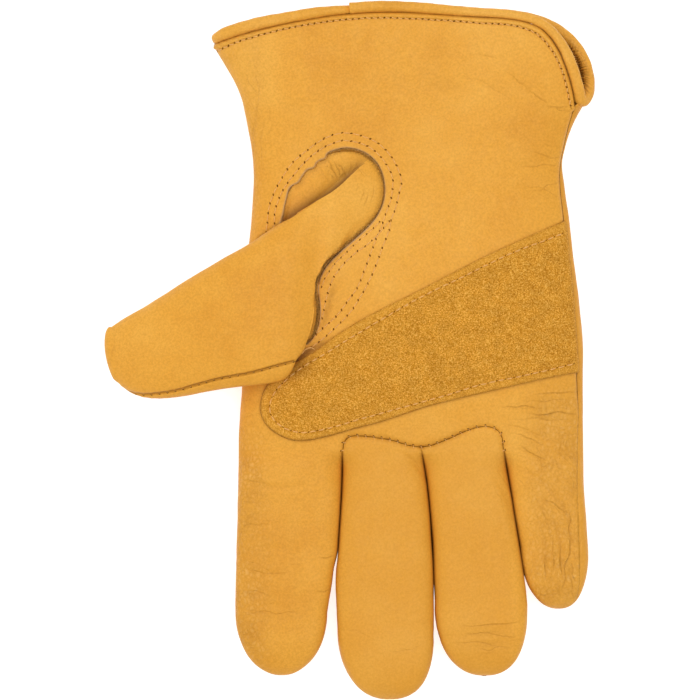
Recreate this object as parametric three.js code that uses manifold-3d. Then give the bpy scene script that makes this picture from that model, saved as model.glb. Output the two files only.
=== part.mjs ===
// A right-hand leather driver glove, lying on its back with the palm up.
// Millimetres. X runs from the thumb side to the little-finger side, Y from the fingertips
// to the cuff, and Z up from the table. The origin is on the table, under the middle of the glove.
//
// The trunk is cut in the classic way: the palm piece carries the fronts of the index and little
// fingers, two small pieces front the middle and ring fingers, and one back piece closes all four
// fingers and wraps round the little-finger side to a seam on the palm. The thumb is a tube of its
// own, set into an oval opening and lying folded over to the side. A suede patch crosses the palm,
// and a rolled binding runs round the cuff and down into the side slit.
import * as THREE from "three";
import { mergeVertices } from "three/addons/utils/BufferGeometryUtils.js";
import Module from "manifold-3d";

const wasm = await Module();
wasm.setup();

const LEATHER = 1.3; // wall of the trunk and thumb
const SUEDE = 1.4; // wall of the palm patch
const GAP = 0.3; // clearance between two pieces that meet
const SIDE_LEVEL = 0.42; // height of the side seams, as a share of the glove's thickness
const TOP_SQUARENESS = 2.8; // exponent of the cross-section's upper half
const BOTTOM_SQUARENESS = 4; // the same for the half that is pressed flat on the table
const FLAT_PRESS = 0.7; // how far the table flattens the underside

const BASE_Y = -35; // where the slits between the fingers begin
const SLIT_ABOVE = 0.5; // how far the cut between two fingers reaches past BASE_Y
const SLIT_BELOW = 6;
const GROOVE_LENGTH = 8; // distance over which a slit reaches its full depth
const CROWDING_LENGTH = 30; // distance over which the palm's columns gather towards the slits
const COLUMNS = 7; // mesh columns across one finger
const SEAM_STEPS = 16; // steps along the seam at the base of a finger
const HEM_STEPS = 40;
const OPENING_STEPS = 36;
const PATCH_STEPS = 48;
const SMALL_ANGLE = 1e-6; // keeps a column on its own side of the level seam
const WELD_DISTANCE = 1e-4; // vertices closer than this are one
const PRISM_LOW = -20; // the height that a cutting prism reaches down to, and up to
const PRISM_HIGH = 80;
const FAR_X = 120; // well outside the glove
const FAR_Y = -140;
const FRONT_MARGIN = 8; // how far a finger front's area reaches past its seam on either side

// The trunk's cross-sections from the cuff to the finger bases.
// inset: how far the little-finger-side seam lies inside the right edge, seen from above.
const TRUNK = [
  { y: 124, left: -54.0, right: 84.0, height: 19.0, inset: 2.0 },
  { y: 112, left: -50.0, right: 86.0, height: 19.5, inset: 2.0 },
  { y: 104, left: -45.5, right: 87.2, height: 20.0, inset: 2.0 },
  { y: 97, left: -41.4, right: 87.0, height: 20.0, inset: 2.0 },
  { y: 91, left: -38.8, right: 85.2, height: 20.0, inset: 1.9 },
  { y: 86, left: -37.6, right: 82.2, height: 20.0, inset: 1.7 },
  { y: 80, left: -36.4, right: 79.6, height: 20.0, inset: 1.4 },
  { y: 74, left: -35.4, right: 77.4, height: 20.0, inset: 0.8 },
  { y: 68, left: -34.8, right: 76.1, height: 20.2, inset: 0.4 },
  { y: 61, left: -34.7, right: 76.9, height: 20.6, inset: 1.2 },
  { y: 47, left: -35.6, right: 78.8, height: 22.0, inset: 1.8 },
  { y: 34, left: -36.6, right: 80.2, height: 23.4, inset: 1.7 },
  { y: 17, left: -37.6, right: 82.4, height: 24.2, inset: 2.2 },
  { y: 3, left: -38.2, right: 83.9, height: 24.0, inset: 2.5 },
  { y: -14, left: -38.9, right: 83.9, height: 22.2, inset: 1.6 },
  { y: -31, left: -40.0, right: 83.9, height: 19.6, inset: 2.0 },
  { y: -48, left: -40.3, right: 84.6, height: 18.4, inset: 3.0 },
];

// Each finger's cross-sections from its base to where the tip begins to round off.
// tip: the rounded end, from y start to y end, with its middle at x and a blunt or pointed form.
const FINGERS = {
  index: {
    rows: [
      { y: -35, left: -40.1, right: -2.7, height: 19.0 },
      { y: -48, left: -40.3, right: -3.0, height: 18.2 },
      { y: -66, left: -40.7, right: -4.3, height: 17.4 },
      { y: -79, left: -41.0, right: -6.1, height: 17.0 },
      { y: -94, left: -41.2, right: -8.3, height: 16.4 },
    ],
    tip: { start: -94, end: -116.5, x: -24.8, bluntness: 2.0 },
  },
  middle: {
    rows: [
      { y: -35, left: -2.7, right: 25.7, height: 19.0 },
      { y: -48, left: -2.8, right: 27.7, height: 18.6 },
      { y: -66, left: -3.9, right: 29.3, height: 17.9 },
      { y: -83, left: -5.0, right: 29.9, height: 17.4 },
      { y: -100, left: -4.3, right: 29.9, height: 16.8 },
    ],
    tip: { start: -100, end: -125.2, x: 14.4, bluntness: 2.3 },
  },
  ring: {
    rows: [
      { y: -35, left: 25.7, right: 55.3, height: 19.0 },
      { y: -48, left: 27.9, right: 57.5, height: 18.2 },
      { y: -66, left: 29.4, right: 60.4, height: 17.6 },
      { y: -79, left: 30.0, right: 62.5, height: 17.0 },
      { y: -91, left: 30.6, right: 63.7, height: 16.6 },
    ],
    tip: { start: -91, end: -116.6, x: 47.5, bluntness: 2.3 },
  },
  little: {
    rows: [
      { y: -35, left: 55.3, right: 84.0, height: 18.8 },
      { y: -48, left: 57.5, right: 84.6, height: 17.4 },
      { y: -60, left: 59.4, right: 85.2, height: 16.2 },
      { y: -70, left: 61.2, right: 85.3, height: 15.2 },
    ],
    tip: { start: -70, end: -92.5, x: 74.2, bluntness: 2.2 },
  },
};
const FINGER_NAMES = ["index", "middle", "ring", "little"];
const LITTLE_SEAM_INSET = [
  { y: -35, inset: 2.2 },
  { y: -60, inset: 3.1 },
  { y: -80, inset: 2.8 },
  { y: -92.5, inset: 0 },
];

// The mesh rows of the trunk, and of each finger as shares of its length.
const PATCH_FIRST_ROW = 10;
const FRONT_FIRST_ROW = 15;
const TRUNK_ROWS = [124, 113, 105, 98, 92, 88, 84, 77, 70, 61, 50, 38, 26, 14, 2, -10, -20, -28];
const FINGER_SHARES = [0.035, 0.09, 0.18, 0.33, 0.5, 0.67, 0.8, 0.9, 0.96, 0.99];
const TIP_WIDTH = 0.55; // the tip's end, as a share of the row before it

// Edges, seen from above. Each runs from the thumb side to the little-finger side.
const FRONT_HEM = [
  [-60, 106],
  [-49, 110.6],
  [-33.6, 115.2],
  [-11.6, 119.7],
  [5, 121.4],
  [20, 121.6],
  [45, 120.2],
  [60, 119.2],
  [68.6, 116.2],
  [74.1, 109.9],
  [77.7, 102],
  [80, 94.3],
  [81, 89],
];
const BACK_HEM = [
  [-60, 106],
  [-49, 110.6],
  [-33.6, 115.2],
  [-11.6, 119.7],
  [5, 121.4],
  [20, 121.6],
  [45, 120.6],
  [62, 119.4],
  [72.4, 116],
  [79, 110.4],
  [82.6, 104],
  [84, 97],
];
const FINGER_BASE_SEAM = {
  middle: [
    [-2.6, -35.4],
    [-1.9, -33],
    [-0.4, -31.3],
    [2, -30.9],
    [8, -31.3],
    [15, -32.4],
    [21, -34.3],
    [25.7, -34.9],
  ],
  ring: [
    [25.7, -34.9],
    [30, -33.8],
    [36, -31.4],
    [43, -28.4],
    [48.5, -27.2],
    [52.5, -28.4],
    [54.6, -31],
    [55.2, -35.4],
  ],
};
// The oval opening that the thumb is set into, from its upper end, where the thumb's upper edge
// folds over, down the right side to its lower end and back up the left side. Each quarter of the
// list meets the same quarter of the thumb's rings.
const THUMB_OPENING = [
  [8.2, 69],
  [11.8, 62.5],
  [11.4, 52.4],
  [8, 45.5],
  [1.5, 39.5],
  [-5, 33],
  [-10.4, 26.4],
  [-11.8, 16],
  [-14.2, 3.6],
  [-18.6, 4.6],
  [-21.8, 12.6],
  [-23.8, 22.4],
  [-24.9, 33],
  [-24.4, 46],
  [-20.6, 59.2],
  [-8.8, 69.4],
];
// The outline of the suede patch, from its upper corner at the side seam round the thumb-side end.
const PATCH = [
  [77.2, 47.2],
  [62, 40.6],
  [45, 32.6],
  [25, 22],
  [6.5, 12.4],
  [-4.7, 5.4],
  [-13, -0.4],
  [-22, -5.4],
  [-29.4, -11.6],
  [-32, -19.4],
  [-30, -26],
  [-24, -31],
  [-17.3, -32.8],
  [-8, -31.2],
  [8, -26],
  [28, -19.4],
  [50, -14],
  [70, -9.4],
  [82.2, -7.2],
];

// How the thumb leaves the opening. share: the way from the opening's edge to the thumb's first
// section; lift: how far it bulges up; tuck: how far the leather at the upper left goes in under
// the thumb before it folds back.
const THUMB_ROOT = [
  { share: 0.1, lift: 1.6, tuck: 3 },
  { share: 0.4, lift: 2, tuck: 6 },
  { share: 0.72, lift: 2.4, tuck: 5 },
];
// The thumb's sections from there to the tip. Each is a flattened ring through four points: its
// upper edge (towards the cuff), its crown, its lower edge (towards the fingers) and its underside.
const THUMB_SQUARENESS = 2.3;
const THUMB = [
  {
    upper: [-16.9, 50.6, 24.2],
    crown: [-10.6, 34.5, 28.6],
    lower: [-20.2, -6.5, 26.2],
    under: [-30, 21.6, 21.2],
  },
  {
    upper: [-25.4, 46, 24.6],
    crown: [-22, 20, 31.8],
    lower: [-25, -10.4, 26],
    under: [-32, 17, 20.4],
  },
  {
    upper: [-36, 38.9, 23.6],
    crown: [-35.1, 13.3, 32],
    lower: [-34.6, -12.1, 24.2],
    under: [-36, 13.3, 18.6],
  },
  {
    upper: [-48.6, 31.4, 21.4],
    crown: [-47.3, 8.8, 29.4],
    lower: [-46.3, -13.7, 21.4],
    under: [-47.3, 8.8, 14.2],
  },
  {
    upper: [-60.8, 24.2, 17.6],
    crown: [-59.2, 4.2, 25.4],
    lower: [-57.8, -15.8, 17.6],
    under: [-59.2, 4.2, 10.4],
  },
  {
    upper: [-72, 17.4, 14],
    crown: [-71.1, 0, 21],
    lower: [-70.2, -17.2, 14],
    under: [-71.1, 0, 7.4],
  },
  {
    upper: [-81, 12, 11.4],
    crown: [-79.6, -2, 17.2],
    lower: [-78.4, -16, 11.4],
    under: [-79.6, -2, 6],
  },
  {
    upper: [-86, 8, 10.2],
    crown: [-85, -2, 14.2],
    lower: [-84, -12, 10.2],
    under: [-85, -2, 6.4],
  },
];
const THUMB_TIP = [-88.2, -1, 10.2];
const THUMB_SIDES = 24;
const FLANGE_WIDTH = 5; // the thumb's border that is sewn under the palm
const OPENING_CLEARANCE = 1.6; // how far inside the opening's edge the thumb rises through it
const TUCK_DIRECTION = new THREE.Vector3(0.5, -0.85, -0.25);
const TUCK_START = 0.75; // the share of a ring's way round after which it tucks in
const THUMB_CLEARANCE = 0.8; // how far the thumb lies off the palm at least
const PATCH_MARGIN = 5; // the thumb is lifted over the patch from this far away

// The side slit at the cuff: the height in Y of its lower end, the distance over which it opens,
// and the angle on the trunk's section that the back's edge falls to.
const SLIT_BOTTOM_Y = 86;
const SLIT_SPREAD = 6;
const SLIT_OPEN_ANGLE = -0.06 * Math.PI;

// The binding is one rolled strip round the cuff and down into the side slit.
const BINDING_WIDTH = 3.6;
const BINDING_SIDES = 8;
const BINDING_RAISE = 0.1; // keeps the roll just off the table
const BINDING_STEPS = 64;
const BINDING_JOINT_X = -0.7; // where the strip's two ends meet
// Where the strip turns down at the thumb side and round the bottom of the slit. Its runs along
// the two hems stop short of these turns.
const THUMB_SIDE_TURN = [
  { x: -47.3, y: 113.3, z: 11.4 },
  { x: -47.9, y: 113.1, z: 8 },
  { x: -47.3, y: 113.3, z: 4.8 },
];
const THUMB_SIDE_RUN_X = -45.5;
const SLIT_TURN = [
  { x: 86, y: 99.2, z: 5.8 },
  { x: 86.2, y: 97.4, z: 7.1 },
  { x: 86.1, y: 94.7, z: 7.7 },
  { x: 85.2, y: 91.8, z: 9.5 },
  { x: 83.9, y: 90.3, z: 11.4 },
  { x: 82.7, y: 91.1, z: 12.8 },
];
const FRONT_RUN_Y = 92.8;
const BACK_RUN_Y = 100.3;

const MATERIALS = {
  leather: { color: 0xe3a044, roughness: 0.62, metalness: 0 },
  suede: { color: 0xcb9434, roughness: 0.95, metalness: 0 },
  binding: { color: 0xdd9c42, roughness: 0.6, metalness: 0 },
};

const lerp = (a, b, t) => a + (b - a) * t;
const clamp = (t, low = 0, high = 1) => Math.min(high, Math.max(low, t));
const smooth = (t) => clamp(t) ** 2 * (3 - 2 * clamp(t));
const power = (value, exponent) => Math.sign(value) * Math.abs(value) ** exponent;

// A column of a table at y, on a smooth curve through its rows, which run towards lower y.
function at(rows, name, y) {
  if (y >= rows[0].y) return rows[0][name];
  const last = rows.length - 1;
  if (y <= rows[last].y) return rows[last][name];
  const i = rows.findIndex((row, k) => y <= row.y && y > rows[k + 1].y);
  const slope = (k) => {
    const a = rows[Math.max(0, k - 1)];
    const b = rows[Math.min(last, k + 1)];
    return (b[name] - a[name]) / (b.y - a.y);
  };
  const span = rows[i + 1].y - rows[i].y;
  const t = (y - rows[i].y) / span;
  return (
    rows[i][name] * (1 + 2 * t) * (1 - t) ** 2 +
    rows[i + 1][name] * t * t * (3 - 2 * t) +
    span * (slope(i) * t * (1 - t) ** 2 + slope(i + 1) * t * t * (t - 1))
  );
}

// The trunk's cross-section at y.
function trunkSection(y) {
  const height = at(TRUNK, "height", y);
  return {
    left: at(TRUNK, "left", y),
    right: at(TRUNK, "right", y),
    top: height,
    level: SIDE_LEVEL * height,
    inset: at(TRUNK, "inset", y),
  };
}

// A finger's cross-section at y. Past the tip's start it shrinks on a superellipse.
function fingerSection(name, y) {
  const { rows, tip } = FINGERS[name];
  const left = at(rows, "left", y) + (name === "index" ? 0 : GAP / 2);
  const right = at(rows, "right", y) - (name === "little" ? 0 : GAP / 2);
  const height = at(rows, "height", y);
  const level = SIDE_LEVEL * height;
  const t = clamp((y - tip.start) / (tip.end - tip.start));
  const shrink = (1 - t ** tip.bluntness) ** (1 / tip.bluntness);
  const middle = lerp((left + right) / 2, tip.x, t * t);
  const half = ((right - left) / 2) * shrink;
  return {
    left: middle - half,
    right: middle + half,
    top: level + (height - level) * shrink,
    bottom: level * (1 - shrink),
    level,
    inset: at(LITTLE_SEAM_INSET, "inset", y) * shrink,
  };
}

// The point of a section at an angle, and the direction that it faces there: 0 is the right side,
// 90 degrees the top, 180 the left side. The two halves stop short of each other at the side seam.
function sectionPoint(section, angle) {
  const { left, right, top, level, bottom = 0 } = section;
  const c = Math.cos(angle);
  const s = Math.sin(angle);
  const upper = s >= 0;
  const squareness = upper ? TOP_SQUARENESS : BOTTOM_SQUARENESS;
  const half = (right - left) / 2;
  const seam = level + ((upper ? 1 : -1) * GAP) / 2;
  const rise = upper ? top - seam : bottom - FLAT_PRESS - seam;
  const x = (left + right) / 2 + half * power(c, 2 / squareness);
  const z = Math.max(bottom, seam + rise * Math.abs(s) ** (2 / squareness));
  const steepness = 2 - 2 / squareness;
  const normal = new THREE.Vector3(
    power(c, steepness) / half,
    0,
    Math.abs(s) ** steepness / (Math.abs(rise) > 0.01 ? rise : 1),
  );
  if (z === bottom) normal.set(0, 0, -1);
  return { x, z, normal: normal.normalize() };
}

// The angle at which a section's upper half, or lower half, passes over x.
function angleAt(section, x, upper) {
  const { left, right } = section;
  const share = clamp((x - (left + right) / 2) / ((right - left) / 2), -1, 1);
  const squareness = upper ? TOP_SQUARENESS : BOTTOM_SQUARENESS;
  const angle = Math.acos(power(share, squareness / 2));
  return upper ? angle : -angle;
}

// The height of the palm's outer surface over the point x, y of the trunk.
function palmHeight(x, y) {
  const section = trunkSection(y);
  return sectionPoint(section, angleAt(section, x, true)).z;
}

const grooveDepth = (y) => smooth((BASE_Y - y) / GROOVE_LENGTH);

// The angle of the seam on the little-finger side, where the palm (side -1) or the back (side 1)
// stops short of the other.
function seamAngle(section, side) {
  const angle = angleAt(section, section.right - section.inset + (side * GAP) / 2, true);
  return angle > 0 ? angle : -side * SMALL_ANGLE;
}

// Where the back's right edge lies on the trunk's section: at the seam on the palm below the side
// slit, and falling to the table above it.
function backEdgeAngle(y, section) {
  const open = smooth((y - SLIT_BOTTOM_Y) / SLIT_SPREAD);
  return lerp(seamAngle(section, 1), SLIT_OPEN_ANGLE, open);
}

// The angles of one row's vertices across the whole trunk, four blocks of COLUMNS.
function trunkAngles(y, upper) {
  const section = trunkSection(y);
  const base = trunkSection(BASE_Y);
  const bounds = FINGER_NAMES.map((name) => FINGERS[name].rows[0].left);
  const shares = bounds.map((x) => (x - base.left) / (base.right - base.left));
  const edges = shares.map((share) => lerp(section.left, section.right, share));
  const ends = edges.map((x) => angleAt(section, x, upper));
  ends[0] = upper ? Math.PI : -Math.PI;
  ends.push(upper ? seamAngle(section, -1) : backEdgeAngle(y, section));
  const crowding = smooth((BASE_Y + CROWDING_LENGTH - y) / CROWDING_LENGTH);
  const angles = [];
  for (let block = 0; block < 4; block += 1) {
    for (let i = block ? 1 : 0; i <= COLUMNS; i += 1) {
      const even = i / COLUMNS;
      const crowded = (1 - Math.cos(Math.PI * even)) / 2;
      angles.push(lerp(ends[block], ends[block + 1], lerp(even, crowded, crowding)));
    }
  }
  return angles;
}

// One vertex of a finger's front or back, with the groove beside it growing from the base.
function fingerVertex(name, y, column, upper) {
  const section = fingerSection(name, y);
  const start = upper ? Math.PI : -Math.PI;
  const side = upper ? -1 : 1;
  const end = name === "little" ? seamAngle(section, side) : -side * SMALL_ANGLE;
  const angle = lerp(start, end, column / COLUMNS);
  const point = sectionPoint(section, angle);
  const depth = grooveDepth(y);
  if (depth < 1) {
    const trunk = trunkSection(y);
    const flat = sectionPoint(trunk, angleAt(trunk, point.x, upper || angle > 0));
    point.z = lerp(flat.z, point.z, depth);
    point.normal.lerpVectors(flat.normal, point.normal, depth);
  }
  return { place: new THREE.Vector3(point.x, y, point.z), facing: point.normal };
}

// The skin of the trunk and the named fingers, as vertices and outward faces.
// from and to are the first and last block of the trunk that the skin takes.
function trunkSkin(upper, from, to, rows, fingers) {
  const points = [];
  const facings = [];
  const faces = [];
  const quad = (a, b, c, d) => faces.push(upper ? [a, b, c, d] : [d, c, b, a]);
  const first = from * COLUMNS;
  const width = (to + 1 - from) * COLUMNS + 1;
  rows.forEach((y, j) => {
    const angles = trunkAngles(y, upper).slice(first, first + width);
    const section = trunkSection(y);
    for (const angle of angles) {
      const { x, z, normal } = sectionPoint(section, angle);
      points.push(new THREE.Vector3(x, y, z));
      facings.push(normal);
    }
    for (let i = 0; j > 0 && i < width - 1; i += 1) {
      const b = j * width + i;
      quad(b - width, b, b + 1, b - width + 1);
    }
  });
  for (const name of fingers) {
    const block = FINGER_NAMES.indexOf(name) - from;
    let above = (rows.length - 1) * width + block * COLUMNS;
    const { tip } = FINGERS[name];
    for (const share of FINGER_SHARES) {
      const y = lerp(BASE_Y, tip.end, share);
      const start = points.length;
      for (let i = 0; i <= COLUMNS; i += 1) {
        const { place, facing } = fingerVertex(name, y, i, upper);
        points.push(place);
        facings.push(facing);
      }
      for (let i = 0; i < COLUMNS; i += 1)
        quad(above + i, start + i, start + i + 1, above + i + 1);
      above = start;
    }
    // The tip's last row lies level, where the front and the back are sewn together.
    const last = fingerSection(name, lerp(BASE_Y, tip.end, FINGER_SHARES.at(-1)));
    const start = points.length;
    const level = last.level + ((upper ? 1 : -1) * GAP) / 2;
    const end = (TIP_WIDTH * (last.right - last.left)) / 2;
    for (let i = 0; i <= COLUMNS; i += 1) {
      const across = i / COLUMNS;
      points.push(new THREE.Vector3(tip.x + lerp(-end, end, across), tip.end, level));
      facings.push(new THREE.Vector3(2 * across - 1, 0, 0));
    }
    for (let i = 0; i < COLUMNS; i += 1)
      quad(above + i, start + i, start + i + 1, above + i + 1);
  }
  return { points, facings, faces };
}

// A closed wall from a skin: the skin itself, its copy moved inwards, and the edges between.
// facings gives the direction of each point as seen along Y, which decides where seams meet.
function thicken({ points, facings, faces }, thickness) {
  const normals = points.map(() => new THREE.Vector3());
  const edges = new Map();
  for (const face of faces) {
    const [a, b, c] = face.map((i) => points[i]);
    const d = points[face.at(-1)];
    const normal = c.clone().sub(a).cross(d === c ? b.clone().sub(a) : d.clone().sub(b));
    if (d === c) normal.negate();
    face.forEach((v, i) => {
      normals[v].add(normal);
      edges.set(v + "," + face[(i + 1) % face.length], [v, face[(i + 1) % face.length]]);
    });
  }
  const border = [...edges.values()].filter(([a, b]) => !edges.has(b + "," + a));
  const inner = points.map((p, i) => {
    const n = normals[i].normalize();
    if (facings) {
      const across = Math.hypot(n.x, n.z);
      n.set(facings[i].x * across, n.y, facings[i].z * across).normalize();
    }
    return p.clone().addScaledVector(n, -thickness);
  });
  const count = points.length;
  const triangles = [];
  for (const face of faces)
    for (let i = 2; i < face.length; i += 1) {
      triangles.push(face[0], face[i - 1], face[i]);
      triangles.push(count + face[0], count + face[i], count + face[i - 1]);
    }
  for (const [a, b] of border) triangles.push(b, a, count + a, b, count + a, count + b);
  return meshGeometry([...points, ...inner], triangles);
}

function meshGeometry(points, triangles) {
  const geometry = new THREE.BufferGeometry().setFromPoints(points);
  geometry.setIndex(triangles);
  return geometry;
}

// Conversions between a geometry and a solid that can be cut and joined.
function toSolid(geometry) {
  const plain = geometry.clone();
  plain.deleteAttribute("normal");
  plain.deleteAttribute("uv");
  const merged = mergeVertices(plain, WELD_DISTANCE);
  return new wasm.Manifold(
    new wasm.Mesh({
      numProp: 3,
      vertProperties: new Float32Array(merged.attributes.position.array),
      triVerts: new Uint32Array(merged.index.array),
    }),
  );
}

function toGeometry(solid) {
  const { vertProperties, triVerts } = solid.getMesh();
  const geometry = new THREE.BufferGeometry();
  geometry.setAttribute("position", new THREE.BufferAttribute(vertProperties, 3));
  geometry.setIndex(new THREE.BufferAttribute(triVerts, 1));
  geometry.computeVertexNormals();
  return geometry;
}

// The largest body of a solid, without the crumbs that a cut may leave.
function largest(solid) {
  return solid.decompose().reduce((a, b) => (a.volume() > b.volume() ? a : b));
}

const flatPoints = (list) => list.map(([x, y]) => new THREE.Vector2(x, y));

// An upright prism over an outline.
function prism(outline) {
  const shape = new THREE.Shape(outline);
  const depth = PRISM_HIGH - PRISM_LOW;
  const geometry = new THREE.ExtrudeGeometry(shape, { depth, bevelEnabled: false });
  return toSolid(geometry.translate(0, 0, PRISM_LOW));
}

function smoothLine(list, steps, closed = false) {
  const points = list.map(([x, y]) => new THREE.Vector3(x, y, 0));
  const curve = new THREE.CatmullRomCurve3(points, closed, "centripetal");
  const line = curve.getSpacedPoints(steps).map((p) => new THREE.Vector2(p.x, p.y));
  if (closed) line.pop();
  return line;
}

// A line moved sideways, to its left as it runs.
function offsetLine(line, distance, closed = false) {
  const count = line.length;
  return line.map((p, i) => {
    const a = line[closed ? (i + count - 1) % count : Math.max(0, i - 1)];
    const b = line[closed ? (i + 1) % count : Math.min(count - 1, i + 1)];
    const side = b.clone().sub(a).normalize();
    return new THREE.Vector2(p.x - side.y * distance, p.y + side.x * distance);
  });
}

const frontHem = smoothLine(FRONT_HEM, HEM_STEPS);
const backHem = smoothLine(BACK_HEM, HEM_STEPS);

// The area inside a hem line: down both sides and across below the fingers.
function belowHem(line) {
  return prism([
    ...line,
    ...flatPoints([
      [FAR_X, line.at(-1).y],
      [FAR_X, FAR_Y],
      [-FAR_X, FAR_Y],
      [-FAR_X, line[0].y],
    ]),
  ]);
}

// The area of a finger front: below its seam with the palm.
function belowSeam(name) {
  const seam = smoothLine(FINGER_BASE_SEAM[name], SEAM_STEPS);
  const left = seam[0].x - FRONT_MARGIN;
  const right = seam.at(-1).x + FRONT_MARGIN;
  return prism([
    ...offsetLine(seam, -GAP / 2),
    ...flatPoints([
      [right, BASE_Y - GAP],
      [right, FAR_Y],
      [left, FAR_Y],
      [left, BASE_Y - GAP],
    ]),
  ]);
}

// A narrow cut along the line between two fingers, at the base of the slit.
function slit(leftName, rightName) {
  const middle = (y) =>
    (at(FINGERS[leftName].rows, "right", y) + at(FINGERS[rightName].rows, "left", y)) / 2;
  const ends = [BASE_Y + SLIT_ABOVE, BASE_Y - SLIT_BELOW].map((y) => [middle(y), y]);
  const line = flatPoints(ends);
  return prism([...offsetLine(line, GAP / 2), ...offsetLine(line, -GAP / 2).reverse()]);
}

const slits = ["index", "middle", "ring"].map((name, i) => slit(name, FINGER_NAMES[i + 1]));
const withSlits = (solid) => slits.reduce((rest, cut) => rest.subtract(cut), solid);
const opening = smoothLine(THUMB_OPENING, OPENING_STEPS, true);
const patchOutline = smoothLine(PATCH, PATCH_STEPS);
const nearPatch = offsetLine(patchOutline, -PATCH_MARGIN);

function makePalm() {
  const skin = trunkSkin(true, 0, 3, [...TRUNK_ROWS, BASE_Y], ["index", "little"]);
  let palm = toSolid(thicken(skin, LEATHER)).intersect(belowHem(frontHem));
  for (const name of ["middle", "ring"]) {
    const seam = smoothLine(FINGER_BASE_SEAM[name], SEAM_STEPS);
    const below = [
      [seam.at(-1).x, BASE_Y - LEATHER],
      [seam[0].x, BASE_Y - LEATHER],
    ];
    palm = palm.subtract(prism([...offsetLine(seam, GAP / 2), ...flatPoints(below)]));
  }
  return toGeometry(largest(withSlits(palm).subtract(prism(opening))));
}

function makeFingerFront(name) {
  const block = FINGER_NAMES.indexOf(name);
  const rows = [...TRUNK_ROWS.slice(FRONT_FIRST_ROW), BASE_Y];
  const skin = trunkSkin(true, block, block, rows, [name]);
  const solid = toSolid(thicken(skin, LEATHER)).intersect(belowSeam(name));
  return toGeometry(largest(withSlits(solid)));
}

function makeBack() {
  const skin = trunkSkin(false, 0, 3, [...TRUNK_ROWS, BASE_Y], FINGER_NAMES);
  return toGeometry(largest(toSolid(thicken(skin, LEATHER)).intersect(belowHem(backHem))));
}

// The patch is the palm's own skin moved outwards, cut to the patch's outline.
function makePatch() {
  const skin = trunkSkin(true, 0, 3, [...TRUNK_ROWS.slice(PATCH_FIRST_ROW), BASE_Y], []);
  const bottom = thicken(skin, -GAP - SUEDE).getAttribute("position");
  skin.points.forEach((point, i) => point.fromBufferAttribute(bottom, skin.points.length + i));
  return toGeometry(largest(toSolid(thicken(skin, SUEDE)).intersect(prism(patchOutline))));
}

// A ring through four points, as vertices from the upper edge over the crown.
function ring({ upper, crown, lower, under }) {
  const [u, c, l, d] = [upper, crown, lower, under].map((p) => new THREE.Vector3(...p));
  const centre = u.clone().add(c).add(l).add(d).divideScalar(4);
  return Array.from({ length: THUMB_SIDES }, (_, i) => {
    const angle = (i / THUMB_SIDES) * 2 * Math.PI;
    const along = Math.abs(Math.cos(angle)) ** (2 / THUMB_SQUARENESS);
    const across = Math.abs(Math.sin(angle)) ** (2 / THUMB_SQUARENESS);
    return centre
      .clone()
      .addScaledVector((Math.cos(angle) >= 0 ? u : l).clone().sub(centre), along)
      .addScaledVector((Math.sin(angle) >= 0 ? c : d).clone().sub(centre), across);
  });
}

// A ring that follows the edge of the opening, moved inwards and up.
function openingRing(inwards, rise) {
  const knots = flatPoints(THUMB_OPENING).map((p) => new THREE.Vector3(p.x, p.y, 0));
  const curve = new THREE.CatmullRomCurve3(knots, true, "centripetal");
  const edge = curve.getPoints(THUMB_SIDES).slice(0, THUMB_SIDES);
  return offsetLine(edge, -inwards, true).map(
    (p) => new THREE.Vector3(p.x, p.y, palmHeight(p.x, p.y) + rise),
  );
}

// A ring part of the way from the opening's edge to the thumb's first section. In its last
// quarter, from the underside to the upper edge, it tucks in under the thumb.
function rootRing(edge, first, { share, lift, tuck }) {
  return edge.map((start, i) => {
    const point = start.clone().lerp(first[i], share);
    const along = (i / THUMB_SIDES - TUCK_START) / (1 - TUCK_START);
    const folded = along > 0 ? Math.sin(along * Math.PI) : 0;
    point.addScaledVector(TUCK_DIRECTION, tuck * folded);
    point.z += lift * (1 - folded);
    return point;
  });
}

function isInside(outline, point) {
  return outline.reduce((inside, a, i) => {
    const b = outline[(i + 1) % outline.length];
    const crosses = a.y > point.y !== b.y > point.y;
    const x = a.x + ((point.y - a.y) / (b.y - a.y)) * (b.x - a.x);
    return crosses && point.x < x ? !inside : inside;
  }, false);
}

// A point of the thumb outside the opening rests on the palm, or on the patch where that is.
function restOnPalm(point) {
  const { left, right } = trunkSection(point.y);
  if (point.x < left || point.x > right || isInside(opening, point)) return;
  const patch = isInside(nearPatch, point) ? GAP + SUEDE : 0;
  point.z = Math.max(point.z, palmHeight(point.x, point.y) + patch + THUMB_CLEARANCE);
}

function makeThumb() {
  const under = -LEATHER - GAP;
  const edge = openingRing(OPENING_CLEARANCE, -GAP);
  const sections = THUMB.map(ring);
  const roots = THUMB_ROOT.map((row) => rootRing(edge, sections[0], row));
  [...roots, ...sections].forEach((points) => points.forEach(restOnPalm));
  const border = [openingRing(-FLANGE_WIDTH, under), openingRing(2 * GAP, under)];
  const rings = [...border, edge, ...roots, ...sections];
  const points = rings.flat();
  const tip = points.push(new THREE.Vector3(...THUMB_TIP)) - 1;
  const faces = [];
  const lastStart = (rings.length - 1) * THUMB_SIDES;
  for (let i = 0; i < THUMB_SIDES; i += 1) {
    const next = (i + 1) % THUMB_SIDES;
    for (let start = 0; start < lastStart; start += THUMB_SIDES) {
      const above = start + THUMB_SIDES;
      faces.push([above + i, above + next, start + next, start + i]);
    }
    faces.push([tip, lastStart + next, lastStart + i]);
  }
  return thicken({ points, faces }, LEATHER);
}

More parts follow.
